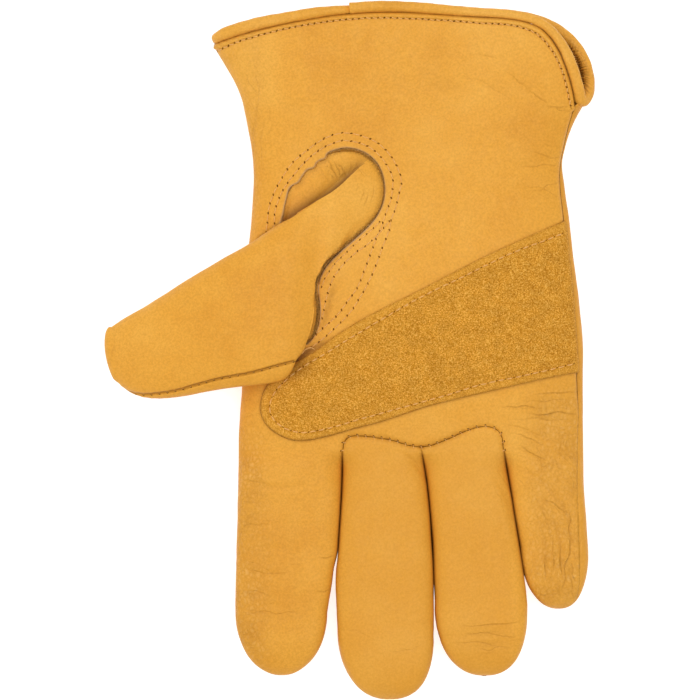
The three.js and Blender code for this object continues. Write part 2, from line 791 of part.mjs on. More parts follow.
// The binding's route: from its joint on the palm round the thumb side, along the back, round the
// bottom of the side slit and back to the joint.
function bindingRoute() {
  const reach = GAP + BINDING_WIDTH / 2;
  const front = offsetLine(frontHem, reach);
  const back = offsetLine(backHem, reach);
  const lift = LEATHER / 2;
  const onPalm = (p) => new THREE.Vector3(p.x, p.y, palmHeight(p.x, p.y) - lift);
  const onTable = (p) => {
    const section = trunkSection(p.y);
    const z = sectionPoint(section, angleAt(section, p.x, false)).z;
    return new THREE.Vector3(p.x, p.y, Math.max(z + lift, BINDING_WIDTH / 2 + BINDING_RAISE));
  };
  const runs = (line, low) => line.filter((p) => p.x > THUMB_SIDE_RUN_X && p.y > low);
  const joint = front.findIndex((p) => p.x > BINDING_JOINT_X);
  const before = runs(front.slice(0, joint), FRONT_RUN_Y);
  const after = runs(front.slice(joint), FRONT_RUN_Y);
  const jointEnd = (side) => {
    const share = (BINDING_JOINT_X + side * GAP - before.at(-1).x) / (after[0].x - before.at(-1).x);
    return before.at(-1).clone().lerp(after[0], share);
  };
  const turn = (points) => points.map(({ x, y, z }) => new THREE.Vector3(x, y, z));
  const thumbSide = [...before, jointEnd(-1)].map(onPalm).reverse();
  const littleSide = [jointEnd(1), ...after].map(onPalm).reverse();
  const underBack = runs(back, BACK_RUN_Y).map(onTable);
  return [...thumbSide, ...turn(THUMB_SIDE_TURN), ...underBack, ...turn(SLIT_TURN), ...littleSide];
}

function makeBinding() {
  const route = bindingRoute();
  const curve = new THREE.CatmullRomCurve3(route, false, "centripetal");
  const radius = BINDING_WIDTH / 2;
  const outline = Array.from({ length: BINDING_SIDES }, (_, i) =>
    new THREE.Vector2(radius, 0).rotateAround(new THREE.Vector2(), (i * 2 * Math.PI) / BINDING_SIDES),
  );
  return new THREE.ExtrudeGeometry(new THREE.Shape(outline), {
    steps: BINDING_STEPS,
    extrudePath: curve,
    bevelEnabled: false,
  });
}

const group = new THREE.Group();
function add(name, geometry, look) {
  const mesh = new THREE.Mesh(geometry, new THREE.MeshStandardMaterial(MATERIALS[look]));
  mesh.name = name;
  group.add(mesh);
}

add("palm", makePalm(), "leather");
add("middle_finger_front", makeFingerFront("middle"), "leather");
add("ring_finger_front", makeFingerFront("ring"), "leather");
add("back", makeBack(), "leather");
add("thumb", makeThumb(), "leather");
add("palm_patch", makePatch(), "suede");
add("cuff_binding", makeBinding(), "binding");

// The origin goes on the table under the middle of the whole glove.
const box = new THREE.Box3().setFromObject(group);
const middle = box.getCenter(new THREE.Vector3());
group.position.set(-middle.x, -middle.y, -box.min.z);

export default group;
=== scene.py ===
# The looks of a right-hand leather driver glove that lies palm up.
# All tables and shapes are in millimetres, in the glove's own frame: X from the thumb side to the
# little-finger side, Y from the fingertips to the cuff, Z up from the table. SHIFT takes them to
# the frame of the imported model.
import math

import bpy
import numpy as np
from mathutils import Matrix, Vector
from mathutils.bvhtree import BVHTree


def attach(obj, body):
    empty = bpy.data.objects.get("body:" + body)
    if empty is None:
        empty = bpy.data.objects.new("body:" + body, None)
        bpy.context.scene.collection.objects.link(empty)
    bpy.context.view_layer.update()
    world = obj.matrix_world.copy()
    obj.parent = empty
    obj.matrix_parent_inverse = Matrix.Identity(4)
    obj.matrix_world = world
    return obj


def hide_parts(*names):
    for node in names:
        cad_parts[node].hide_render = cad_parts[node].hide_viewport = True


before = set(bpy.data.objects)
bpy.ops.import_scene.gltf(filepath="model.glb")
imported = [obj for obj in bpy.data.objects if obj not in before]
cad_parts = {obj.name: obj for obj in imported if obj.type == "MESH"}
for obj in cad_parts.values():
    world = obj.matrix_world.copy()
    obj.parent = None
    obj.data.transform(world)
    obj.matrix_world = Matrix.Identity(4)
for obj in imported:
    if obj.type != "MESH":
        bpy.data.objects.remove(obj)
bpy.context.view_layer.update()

SHIFT = np.array([0.1796, -0.1664, 0.0])
MM = 0.001

LEATHER = 1.3  # thickness of the leather
SUEDE = 1.4  # thickness of the patch
SIDE_LEVEL = 0.42  # height of the sides' widest place, as a share of the section's
# How square the sections are: 2 is an ellipse.
TOP_SQUARENESS = 2.8
FINGER_SQUARENESS = 5.5
BOTTOM_SQUARENESS = 4.0
FLAT_PRESS = 0.7  # how much of the round underside the table presses flat
SEAM_GAP = 0.16  # between two panels that are sewn together
CLOSED_GAP = 0.02  # where the side seam is hardly seen
FINGER_PRESS = 0.06  # how far two fingers press into each other
HAND_TOP = 124.0  # just past the cuff
BASE_Y = -35.0  # where the fingers begin
GROOVE_LENGTH = 8.0  # over which the grooves between them reach their full depth
TIP_SEAM = 0.6  # width of the seam at a fingertip, as a share of the row before it


def table(names, *rows):
    """A table with named columns."""
    data = np.array(rows, float)
    return {name: data[:, i] for i, name in enumerate(names.split())}


TRUNK = table(
    "y left right height inset",
    (124, -54.0, 84.0, 19.0, 2.0),
    (112, -50.0, 86.0, 19.5, 2.0),
    (104, -45.5, 87.2, 20.0, 5.0),
    (97, -41.4, 87.0, 20.0, 5.5),
    (91, -38.8, 85.2, 20.0, 4.2),
    (86, -37.6, 82.2, 20.0, 1.7),
    (80, -36.4, 79.6, 20.0, 0.8),
    (74, -35.4, 78.0, 20.0, 0.5),
    (68, -34.8, 76.9, 20.2, 0.5),
    (61, -34.7, 77.3, 20.6, 1.2),
    (47, -35.6, 79.2, 22.0, 1.8),
    (34, -36.6, 80.2, 23.4, 1.7),
    (17, -37.6, 82.4, 24.2, 2.2),
    (3, -38.2, 83.9, 24.0, 2.5),
    (-14, -38.9, 83.9, 22.2, 1.6),
    (-31, -40.0, 83.9, 19.6, 2.0),
    (-48, -40.3, 84.6, 18.4, 3.0),
)
FINGER_COLUMNS = "y left right height"
FINGERS = {
    "index": table(
        FINGER_COLUMNS,
        (-35, -40.1, -2.7, 19.0),
        (-48, -40.3, -2.9, 18.2),
        (-66, -40.7, -3.95, 17.4),
        (-72.5, -40.8, -4.5, 17.2),
        (-79, -41.0, -6.1, 17.0),
        (-94, -41.2, -8.3, 16.4),
    ),
    "middle": table(
        FINGER_COLUMNS,
        (-35, -2.7, 25.7, 19.0),
        (-48, -2.9, 27.8, 18.6),
        (-66, -3.95, 29.4, 17.9),
        (-83, -4.9, 30.15, 17.4),
        (-100, -4.3, 29.9, 16.8),
    ),
    "ring": table(
        FINGER_COLUMNS,
        (-35, 25.7, 55.3, 19.0),
        (-48, 27.8, 57.5, 18.2),
        (-66, 29.4, 60.4, 17.6),
        (-79, 30.05, 62.5, 17.0),
        (-91, 30.7, 63.9, 16.6),
    ),
    "little": table(
        FINGER_COLUMNS,
        (-35, 55.3, 84.0, 18.8),
        (-48, 57.5, 84.6, 17.4),
        (-60, 59.4, 85.2, 16.2),
        (-70, 61.2, 85.6, 15.2),
    ),
}
FINGER_NAMES = ["index", "middle", "ring", "little"]
# Where each fingertip starts to round off, where it ends, the end's middle and how blunt it is.
TIPS = {
    "index": (-94.0, -116.5, -24.8, 2.0),
    "middle": (-100.0, -125.2, 14.4, 2.3),
    "ring": (-91.0, -116.9, 48.7, 2.3),
    "little": (-70.0, -92.5, 75.0, 2.2),
}
LITTLE_SEAM_INSET = table("y inset", (-35, 2.2), (-60, 3.1), (-80, 2.8), (-92.5, 0.0))


def along(tab, name, y):
    """A column of a table at y, on a smooth curve through its rows, which run to lower y."""
    ys, values = tab["y"], tab[name]
    last = len(ys) - 1
    before = np.maximum(np.arange(last + 1) - 1, 0)
    after = np.minimum(np.arange(last + 1) + 1, last)
    slopes = (values[after] - values[before]) / (ys[after] - ys[before])
    y = np.clip(y, ys[-1], ys[0])
    i = np.clip(np.searchsorted(-ys, -y, side="right") - 1, 0, last - 1)
    span = ys[i + 1] - ys[i]
    t = (y - ys[i]) / span
    return (
        values[i] * (1 + 2 * t) * (1 - t) ** 2
        + values[i + 1] * t * t * (3 - 2 * t)
        + span * (slopes[i] * t * (1 - t) ** 2 + slopes[i + 1] * t * t * (t - 1))
    )


def smooth(t):
    t = np.clip(t, 0.0, 1.0)
    return t * t * (3 - 2 * t)


def lerp(a, b, t):
    return a + (b - a) * t


def power(value, exponent):
    return np.sign(value) * np.abs(value) ** exponent


def bell(distance, width):
    return np.exp(-((distance / width) ** 2))


def unit(vectors):
    return vectors / np.maximum(np.linalg.norm(vectors, axis=-1, keepdims=True), 1e-9)


def directions(line):
    return unit(np.gradient(line, axis=0))


def left_of(d):
    """Directions in the plane, turned a quarter to the left."""
    return np.stack([-d[:, 1], d[:, 0]], 1)


def circle(sides):
    """The cosines and sines of a full turn, as columns."""
    angle = np.arange(sides) / sides * 2 * math.pi
    return np.cos(angle)[:, None], np.sin(angle)[:, None]


def as_columns(section):
    """A section's values as columns, to go with rows of angles."""
    return {key: value[:, None] for key, value in section.items()}


def trunk_section(y):
    height = along(TRUNK, "height", y)
    return {
        "left": along(TRUNK, "left", y),
        "right": along(TRUNK, "right", y),
        "top": height,
        "bottom": np.zeros_like(height),
        "level": SIDE_LEVEL * height,
        "inset": along(TRUNK, "inset", y),
        "square": np.full_like(height, TOP_SQUARENESS),
        "gap": lerp(CLOSED_GAP, SEAM_GAP, smooth((y + 24) / 10)),
    }


def finger_section(name, y):
    start, end, tip_x, bluntness = TIPS[name]
    tab = FINGERS[name]
    left = along(tab, "left", y) - (0 if name == "index" else FINGER_PRESS / 2)
    right = along(tab, "right", y) + (0 if name == "little" else FINGER_PRESS / 2)
    height = along(tab, "height", y)
    level = SIDE_LEVEL * height
    t = np.clip((y - start) / (end - start), 0, 1)
    shrink = np.maximum(1 - t**bluntness, 0) ** (1 / bluntness)
    middle = lerp((left + right) / 2, tip_x, t**1.4)
    half = (right - left) / 2 * shrink
    return {
        "left": middle - half,
        "right": middle + half,
        "top": level + (height - level) * shrink,
        "bottom": level * (1 - shrink),
        "level": level,
        "inset": along(LITTLE_SEAM_INSET, "inset", y) * shrink,
        "square": lerp(TOP_SQUARENESS, FINGER_SQUARENESS, smooth((BASE_Y - y) / 26)),
        "gap": np.full_like(height, CLOSED_GAP),
    }


def section_point(section, angle):
    """x, z and the facing in the XZ plane of a section's point at an angle: 0 is the right side,
    a quarter turn the top, half a turn the left side."""
    c, s = np.cos(angle), np.sin(angle)
    upper = s >= 0
    squareness = np.where(upper, section["square"], BOTTOM_SQUARENESS)
    half = np.maximum((section["right"] - section["left"]) / 2, 0.05)
    middle = (section["left"] + section["right"]) / 2
    seam = section["level"] + np.where(upper, 1, -1) * SEAM_GAP / 2
    rise = np.where(upper, section["top"] - seam, section["bottom"] - FLAT_PRESS - seam)
    rise = np.where(np.abs(rise) < 0.01, 0.01, rise)
    x = middle + half * power(c, 2 / squareness)
    z = np.maximum(section["bottom"], seam + rise * np.abs(s) ** (2 / squareness))
    steepness = 2 - 2 / squareness
    nx = power(c, steepness) / half
    nz = np.abs(s) ** steepness / rise
    flat = z <= section["bottom"]
    nx = np.where(flat, 0.0, nx)
    nz = np.where(flat, -1.0, nz)
    size = np.hypot(nx, nz)
    return x, z, nx / size, nz / size


def angle_at(section, x, upper):
    """The angle at which a section's upper half (or lower half) passes over x."""
    half = (section["right"] - section["left"]) / 2
    share = (x - (section["left"] + section["right"]) / 2) / half
    squareness = np.where(upper, section["square"], BOTTOM_SQUARENESS)
    angle = np.arccos(power(np.clip(share, -1, 1), squareness / 2))
    return np.where(upper, angle, -angle)


def palm_height(x, y):
    section = trunk_section(np.asarray(y, float))
    return section_point(section, angle_at(section, x, True))[1]


# Where the side slit ends, and over what length it opens
SLIT_BOTTOM_Y = 88.5
SLIT_SPREAD = 5.0
SLIT_OPEN_ANGLE = -0.06 * math.pi


def seam_angle(section, side):
    """The seam on the little-finger side, for the palm (side -1) or the back (side 1)."""
    x = section["right"] - section["inset"] + side * section["gap"] / 2
    return np.maximum(angle_at(section, x, True), 1e-4)


def back_edge_angle(y, section):
    opened = smooth((y - SLIT_BOTTOM_Y) / SLIT_SPREAD)
    return lerp(seam_angle(section, 1), SLIT_OPEN_ANGLE, opened)


# Lines in the plane of the table
def spline(knots, closed=False, steps=12):
    """A smooth line through knots, with that many steps between two of them. A knot may also be a
    whole ring of points."""
    p = np.array(knots, float)
    if closed:
        p = p[np.arange(-1, len(p) + 2) % len(p)]
    else:
        p = np.concatenate([[2 * p[0] - p[1]], p, [2 * p[-1] - p[-2]]])
    t = np.linspace(0, 1, steps, endpoint=False).reshape((-1,) + (1,) * (p.ndim - 1))

    def size(v):
        return np.maximum(np.linalg.norm(v, axis=-1, keepdims=True), 1e-9)

    parts = []
    for a, b, c, d in zip(p[:-3], p[1:-2], p[2:-1], p[3:]):
        length = size(c - b)
        m0 = (c - a) / (length + size(b - a)) * length
        m1 = (d - b) / (length + size(d - c)) * length
        parts.append(
            b * (1 + 2 * t) * (1 - t) ** 2
            + c * t * t * (3 - 2 * t)
            + m0 * t * (1 - t) ** 2
            + m1 * t * t * (t - 1)
        )
    if not closed:
        parts.append(p[-2][None])
    return np.concatenate(parts)


def lengths(line):
    return np.concatenate([[0], np.cumsum(np.linalg.norm(np.diff(line, axis=0), axis=1))])


def on_line(line, at, wanted):
    """The places on a line at the wanted ways along it. at: the way of each of its points."""
    return np.stack([np.interp(wanted, at, line[:, k]) for k in range(line.shape[1])], 1)


def resample(line, count):
    at = lengths(line)
    return on_line(line, at, np.linspace(0, at[-1], count))


def offset(line, distance):
    """A line moved sideways, to its left as it runs."""
    return line + distance * left_of(directions(line))


def nearest(points, line, closed=False):
    """The distance of points from a line, which side they are on (left is positive), and the way
    along the line from 0 to 1 of the nearest place."""
    ends = np.vstack([line, line[:1]]) if closed else line
    a, b = ends[:-1], ends[1:]
    d = b - a
    size = np.maximum((d**2).sum(1), 1e-12)
    at = lengths(ends)
    best = np.full(len(points), 1e9)
    side = np.zeros(len(points))
    share = np.zeros(len(points))
    for first in range(0, len(points), 4000):
        p = points[first : first + 4000, None, :2]
        t = np.clip(((p - a) * d).sum(2) / size, 0, 1)
        away = p - (a + d * t[:, :, None])
        distance = np.hypot(away[:, :, 0], away[:, :, 1])
        i = distance.argmin(1)
        row = np.arange(len(i))
        best[first : first + 4000] = distance[row, i]
        cross = d[i, 0] * away[row, i, 1] - d[i, 1] * away[row, i, 0]
        side[first : first + 4000] = np.sign(cross)
        share[first : first + 4000] = (at[i] + t[row, i] * np.sqrt(size[i])) / at[-1]
    return best, side, share


def inside(points, outline):
    """Whether points lie inside a closed outline."""
    x, y = points[:, 0], points[:, 1]
    result = np.zeros(len(points), bool)
    for a, b in zip(outline, np.roll(outline, -1, axis=0)):
        crosses = (a[1] > y) != (b[1] > y)
        with np.errstate(divide="ignore", invalid="ignore"):
            at = a[0] + (y - a[1]) / (b[1] - a[1]) * (b[0] - a[0])
        result ^= crosses & (x < at)
    return result


def signed(points, outline):
    """The distance from a closed outline, positive inside it."""
    distance = nearest(points, outline, closed=True)[0]
    return np.where(inside(points, outline), distance, -distance)


def value_noise(points, size, seed):
    """Smooth noise from -1 to 1 with features of about that size."""
    grid = np.random.default_rng(seed).uniform(-1, 1, (32, 32, 32))
    q = np.asarray(points, float) / size
    i = np.floor(q).astype(int)
    f = q - i
    f = f * f * (3 - 2 * f)
    total = 0
    for corner in range(8):
        bits = [(corner >> k) & 1 for k in range(3)]
        weight = np.prod([f[:, k] if bit else 1 - f[:, k] for k, bit in enumerate(bits)], axis=0)
        total = total + weight * grid[tuple((i[:, k] + bits[k]) % 32 for k in range(3))]
    return total


FRONT_HEM = spline(
    [
        (-60, 106.2), (-49, 110.9), (-33.6, 115.5), (-11.6, 120), (5, 121.8), (20, 121.9),
        (45, 120.3), (60, 119.2), (68.6, 116.2), (74.1, 109.9), (77.7, 102), (80, 94.3), (81, 89),
    ]
)
BACK_HEM = spline(
    [
        (-60, 106), (-49, 110.6), (-33.6, 115.2), (-11.6, 119.7), (5, 121.4), (20, 121.6),
        (45, 120.6), (62, 119.4), (72.4, 116), (79.1, 110.6), (83.1, 104.4), (84.9, 97),
    ]
)
BASE_SEAM = {
    "middle": spline(
        [
            (-2.6, -35.4), (-2.1, -32.6), (-0.6, -30.8), (2, -30.2), (8, -30.7), (15, -31.8),
            (21, -33.6), (25.7, -34.3),
        ]
    ),
    "ring": spline(
        [
            (25.7, -34.3), (30, -33.4), (36, -31), (43, -28), (48.5, -26.8), (52.7, -28),
            (54.5, -30.4), (55.2, -35.4),
        ]
    ),
}
# The cut edge of the thumb's opening, clockwise from its upper end, wavy at the upper left
OPENING = spline(
    [
        (8.6, 69.2), (10.8, 66.2), (12.2, 62.0), (12.6, 57.6), (11.8, 53.2), (9.6, 48.6),
        (6.2, 44.5), (1.2, 39.9), (-4.2, 35.2), (-8.6, 30.4), (-10.9, 26), (-11.5, 22.6),
        (-11.0, 18.6), (-10.7, 14.6), (-11.2, 10), (-13, 5.4), (-16.2, 2.6), (-20.4, 6.6),
        (-22.6, 15), (-24.2, 24),
        (-25.2, 34), (-25.4, 44), (-24.0, 50.4), (-23.0, 54.9), (-21.6, 59.2), (-18.6, 61.0),
        (-17.2, 63.2), (-15.2, 65.6), (-12.9, 66.2), (-12.0, 68.0), (-10.4, 69.0), (-8.9, 69.6),
        (-8.1, 71.4), (-5.4, 72.6), (-1.6, 73.4), (2.2, 72.9), (5.8, 71.4),
    ],
    closed=True,
    steps=6,
)
PATCH = spline(
    [
        (77.2, 47.2), (62, 40.6), (45, 32.6), (25, 22.2), (6.5, 12.9), (-4.7, 6.2), (-13, 0),
        (-22, -5.4), (-29.4, -11.6), (-32, -19.4), (-30.1, -25.7), (-24.2, -30.4),
        (-17.5, -31.9), (-8, -30.2), (2, -27.4), (11, -25), (28, -19.4), (50, -14),
        (70, -9.4), (82.2, -7.2),
    ]
)


# Skins: single surfaces as points, facings and triangles
class Skin:
    def __init__(self, points, facings, faces):
        self.points = points
        self.facings = facings  # as seen along Y, in X and Z
        self.faces = faces

    def keep(self, values):
        """Cuts the skin where values, one for each point, pass through zero, and keeps the
        positive side."""
        values = np.where(np.abs(values) < 1e-6, 1e-6, values)
        good = values[self.faces] > 0
        count = good.sum(1)
        crossed = (count == 1) | (count == 2)
        faces = [self.faces[count == 3]]
        data = np.hstack([self.points, self.facings])
        added = []
        cuts = {}

        def cut(a, b):
            key = (min(a, b), max(a, b))
            if key not in cuts:
                t = values[a] / (values[a] - values[b])
                cuts[key] = len(data) + len(added)
                added.append(lerp(data[a], data[b], t))
            return cuts[key]

        pieces = []
        for face, flags in zip(self.faces[crossed], good[crossed]):
            ring = []
            for k in range(3):
                a, b = face[k], face[(k + 1) % 3]
                if flags[k]:
                    ring.append(a)
                if flags[k] != flags[(k + 1) % 3]:
                    ring.append(cut(a, b))
            pieces += [[ring[0], ring[k - 1], ring[k]] for k in range(2, len(ring))]
        if pieces:
            faces.append(np.array(pieces))
            data = np.vstack([data, added])
        faces = np.vstack(faces)
        used, flat = np.unique(faces, return_inverse=True)
        data = data[used]
        return Skin(data[:, :3], data[:, 3:], flat.reshape(-1, 3))

    def normals(self):
        a, b, c = (self.points[self.faces[:, k]] for k in range(3))
        area = np.cross(b - a, c - a)
        total = np.zeros_like(self.points)
        for k in range(3):
            np.add.at(total, self.faces[:, k], area)
        return unit(total)

    def outward(self):
        """The direction of thickness: the surface's own normal, turned about Y so that the walls
        of two panels meet squarely at their seam."""
        n = self.normals()
        across = np.hypot(n[:, 0], n[:, 2])
        mixed = np.stack([self.facings[:, 0] * across, n[:, 1], self.facings[:, 1] * across], 1)
        return unit(mixed)

    def border(self):
        """The edges that only one face has, in the direction of that face."""
        edges = self.faces[:, [0, 1, 1, 2, 2, 0]].reshape(-1, 2)
        size = int(self.faces.max()) + 1
        forward = edges[:, 0] * size + edges[:, 1]
        backward = edges[:, 1] * size + edges[:, 0]
        return edges[~np.isin(forward, backward)]


def strip_faces(a, b):
    """Two triangles between each point of one row and the one beside it in the next row."""
    return np.vstack([np.stack([a, b, b + 1], 1), np.stack([a, b + 1, a + 1], 1)])


def grid_faces(rows, columns, first=0):
    j, i = np.meshgrid(np.arange(rows - 1), np.arange(columns - 1), indexing="ij")
    a = (first + j * columns + i).ravel()
    return strip_faces(a, a + columns)


def round_grid(rows, sides):
    """Each point of a tube's rings but the last, and the next one round its ring."""
    j, i = np.meshgrid(np.arange(rows - 1), np.arange(sides), indexing="ij")
    return (j * sides + i).ravel(), (j * sides + (i + 1) % sides).ravel()


def closed_tube(rings, start, end):
    """The points and faces of a tube through rings, closed by a point at either end."""
    count, sides = rings.shape[:2]
    points = np.vstack([rings.reshape(-1, 3), start, end])
    a, b = round_grid(count, sides)
    i = np.arange(sides)
    k = (i + 1) % sides
    total, last = len(points), (count - 1) * sides
    faces = [
        np.stack([a, b, b + sides], 1),
        np.stack([a, b + sides, a + sides], 1),
        np.stack([np.full(sides, total - 2), k, i], 1),
        np.stack([np.full(sides, total - 1), last + i, last + k], 1),
    ]
    return points, np.vstack(faces)


def even_columns(section, starts, ends, count, flat=None, depth=None):
    """Angles of a row's columns, evenly spaced on the row's curve from start to end."""
    dense = lerp(starts[:, None], ends[:, None], np.linspace(0, 1, 400)[None])
    x, z, _, _ = section_point(as_columns(section), dense)
    if flat is not None:
        z = lerp(flat(x, dense)[1], z, depth)
    way = np.zeros_like(x)
    way[:, 1:] = np.cumsum(np.hypot(np.diff(x, axis=1), np.diff(z, axis=1)), axis=1)
    share = np.linspace(0, 1, count + 1)
    return np.array([np.interp(share * w[-1], w, a) for w, a in zip(way, dense)])


def tip_rows(name, spacing):
    """The rows of a finger from its base to its tip, evenly spaced on its curve."""
    start, end, _, bluntness = TIPS[name]
    straight = np.linspace(BASE_Y, start, int((BASE_Y - start) / spacing) + 1)[1:]
    turn = np.linspace(0, 0.96 * math.pi / 2, int(1.25 * (start - end) / spacing))[1:]
    return np.concatenate([straight, start + (end - start) * np.sin(turn) ** (2 / bluntness)])


def hand_skin(upper, first, last, trunk_rows, fingers, columns, spacing):
    """The skin of the trunk from one finger's block to another's, and of the named fingers."""
    side = 1 if upper else -1
    points, facings = [], []

    def take(x, rows, z, nx, nz):
        y = np.broadcast_to(rows[:, None], x.shape)
        points.append(np.stack([x, y, z], 2).reshape(-1, 3))
        facings.append(np.stack([nx, nz], 2).reshape(-1, 2))

    section = trunk_section(trunk_rows)
    base = trunk_section(np.array([BASE_Y]))
    bounds = [FINGERS[name]["left"][0] for name in FINGER_NAMES]
    parts = [(x - base["left"][0]) / (base["right"][0] - base["left"][0]) for x in bounds]
    ends = [angle_at(section, lerp(section["left"], section["right"], s), upper) for s in parts]
    ends[0] = np.full(len(trunk_rows), side * math.pi)
    ends.append(seam_angle(section, -1) if upper else back_edge_angle(trunk_rows, section))
    blocks = []
    for block in range(first, last + 1):
        angles = even_columns(section, ends[block], ends[block + 1], columns)
        blocks.append(angles if block == first else angles[:, 1:])
    angles = np.hstack(blocks)
    x, z, nx, nz = section_point(as_columns(section), angles)
    take(x, trunk_rows, z, nx, nz)
    width = angles.shape[1]
    faces = [grid_faces(len(trunk_rows), width)]
    last_row = (len(trunk_rows) - 1) * width
    count = len(points[0])
    for name in fingers:
        _, tip_y, tip_x, _ = TIPS[name]
        rows = tip_rows(name, spacing)
        finger = finger_section(name, rows)
        trunk = as_columns(trunk_section(rows))
        depth = smooth((BASE_Y - rows) / GROOVE_LENGTH)[:, None]

        def trunk_above(x, angle, trunk=trunk):
            return section_point(trunk, angle_at(trunk, x, upper | (angle > 0)))

        starts = np.full(len(rows), side * math.pi)
        if name == "little":
            stops = seam_angle(finger, -side)
        else:
            stops = np.full(len(rows), side * 1e-5)
        angles = even_columns(finger, starts, stops, columns, trunk_above, depth)
        x, z, nx, nz = section_point(as_columns(finger), angles)
        _, flat_z, flat_nx, flat_nz = trunk_above(x, angles)
        nx, nz = lerp(flat_nx, nx, depth), lerp(flat_nz, nz, depth)
        size = np.hypot(nx, nz)
        take(x, rows, lerp(flat_z, z, depth), nx / size, nz / size)
        # The tip's last row lies level, where the front and the back are sewn together.
        across = np.linspace(-1, 1, columns + 1)
        even = np.ones(columns + 1)
        half = TIP_SEAM * (finger["right"][-1] - finger["left"][-1]) / 2
        level = finger["level"][-1] + side * SEAM_GAP / 2
        points.append(np.column_stack([tip_x + half * across, tip_y * even, level * even]))
        facings.append(np.column_stack([across, 0.05 * even]))
        start = last_row + (FINGER_NAMES.index(name) - first) * columns
        faces.append(strip_faces(start + np.arange(columns), count + np.arange(columns)))
        faces.append(grid_faces(len(rows) + 1, columns + 1, count))
        count += (len(rows) + 1) * (columns + 1)
    faces = np.vstack(faces)
    if not upper:
        faces = faces[:, ::-1]
    return Skin(np.vstack(points), np.vstack(facings), faces)


# Making Blender meshes
def to_object(name, points, faces, materials, kinds=None, attributes=None, soft=None):
    mesh = bpy.data.meshes.new(name)
    place = (np.asarray(points) + SHIFT) * MM
    faces = np.asarray(faces)
    mesh.vertices.add(len(place))
    mesh.vertices.foreach_set("co", place.astype(np.float32).ravel())
    sides = faces.shape[1]
    mesh.loops.add(faces.size)
    mesh.loops.foreach_set("vertex_index", faces.astype(np.int32).ravel())
    mesh.polygons.add(len(faces))
    mesh.polygons.foreach_set("loop_start", np.arange(0, faces.size, sides, dtype=np.int32))
    rounded = np.ones(len(faces), bool) if soft is None else soft
    mesh.polygons.foreach_set("use_smooth", rounded)
    for material in materials:
        mesh.materials.append(material)
    if kinds is not None:
        mesh.polygons.foreach_set("material_index", np.asarray(kinds, np.int32))
    mesh.update()
    for key, values in (attributes or {}).items():
        layer = mesh.attributes.new(key, "FLOAT", "POINT")
        layer.data.foreach_set("value", np.asarray(values, np.float32))
    mesh.validate()
    obj = bpy.data.objects.new(name, mesh)
    bpy.context.scene.collection.objects.link(obj)
    return obj


def finish_piece(obj, slot, *nodes):
    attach(obj, "root")
    if nodes:
        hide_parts(*nodes)
    return obj


def wall(name, skin, raised, materials, attributes, thickness=LEATHER, own=False, open_edge=None):
    """A closed wall: the skin raised by its relief, its inner side, and the cut edges between.
    open_edge: the border points whose cut edge is in the open, and how far the inner side of each
    juts out past the outer side there."""
    n = skin.normals() if own else skin.outward()
    outer = skin.points + n * raised[:, None]
    depth = np.broadcast_to(thickness, len(n))
    inner = skin.points + n * (np.minimum(raised, 0) - depth)[:, None]
    count = len(outer)
    a, b = skin.border().T
    cut = [np.stack([b, a, a + count], 1), np.stack([b, a + count, b + count], 1)]
    faces = np.vstack([skin.faces, skin.faces[:, ::-1] + count, *cut])
    sizes = [len(skin.faces), len(skin.faces), 2 * len(a)]
    kinds = np.repeat([0, 1, 2], sizes)
    if open_edge is not None:
        rim, slant = open_edge
        inner[rim, :2] += slant
        bare = np.zeros(count, bool)
        bare[rim] = True
        kinds[-2 * len(a) :] += np.tile(bare[a] & bare[b], 2)
    values = {key: np.concatenate([v, v]) for key, v in attributes.items()}
    obj = to_object(name, np.vstack([outer, inner]), faces, materials, kinds, values, kinds < 2)
    return obj, Skin(outer, skin.facings, skin.faces)


# Relief: creases, seams and the soft unevenness of worn leather
CREASE_SHOULDER = 0.35  # the swelling beside a crease, as a share of its depth


def close_to(points, line, reach):
    """Which points lie in the box round a line."""
    low, high = line.min(0) - reach, line.max(0) + reach
    return np.flatnonzero(np.all((points[:, :2] > low) & (points[:, :2] < high), axis=1))


def crease_relief(points, rows):
    """The sum of creases. Each row: two ends, the bow to the left, the width and the depth."""
    total = np.zeros(len(points))
    for x0, y0, x1, y1, bow, width, depth in rows:
        a, b = np.array([x0, y0]), np.array([x1, y1])
        side = np.array([a[1] - b[1], b[0] - a[0]]) / max(np.linalg.norm(b - a), 1e-9)
        line = spline([a, (a + b) / 2 + bow * side, b], steps=6)
        reach = 4 * width + 1
        near = close_to(points, line, reach)
        if not len(near):
            continue
        distance, _, share = nearest(points[near], line)
        taper = np.sin(np.pi * np.clip(share, 0.02, 0.98)) ** 0.6
        taper *= smooth(1.2 - distance / reach)
        valley = -bell(distance, width) + CREASE_SHOULDER * bell(distance - 2 * width, width)
        total[near] += depth * valley * taper
    return total


LINE_REACH = 1.5  # how far a fine crease is felt
LINE_CHANNELS = 4
CREASE_WIDTH = 0.24


def wavy(x0, y0, x1, y1, bow, random):
    """A wrinkle that wanders a little between its two ends."""
    a, b = np.array([x0, y0]), np.array([x1, y1])
    way = b - a
    size = max(np.linalg.norm(way), 1e-9)
    side = np.array([-way[1], way[0]]) / size
    share = np.linspace(0, 1, 6)
    sway = bow * 4 * share * (1 - share)
    sway = sway + random.normal(0, 0.03 * size, 6) * np.sin(np.pi * share)
    return spline(a + way * share[:, None] + side * sway[:, None], steps=3)


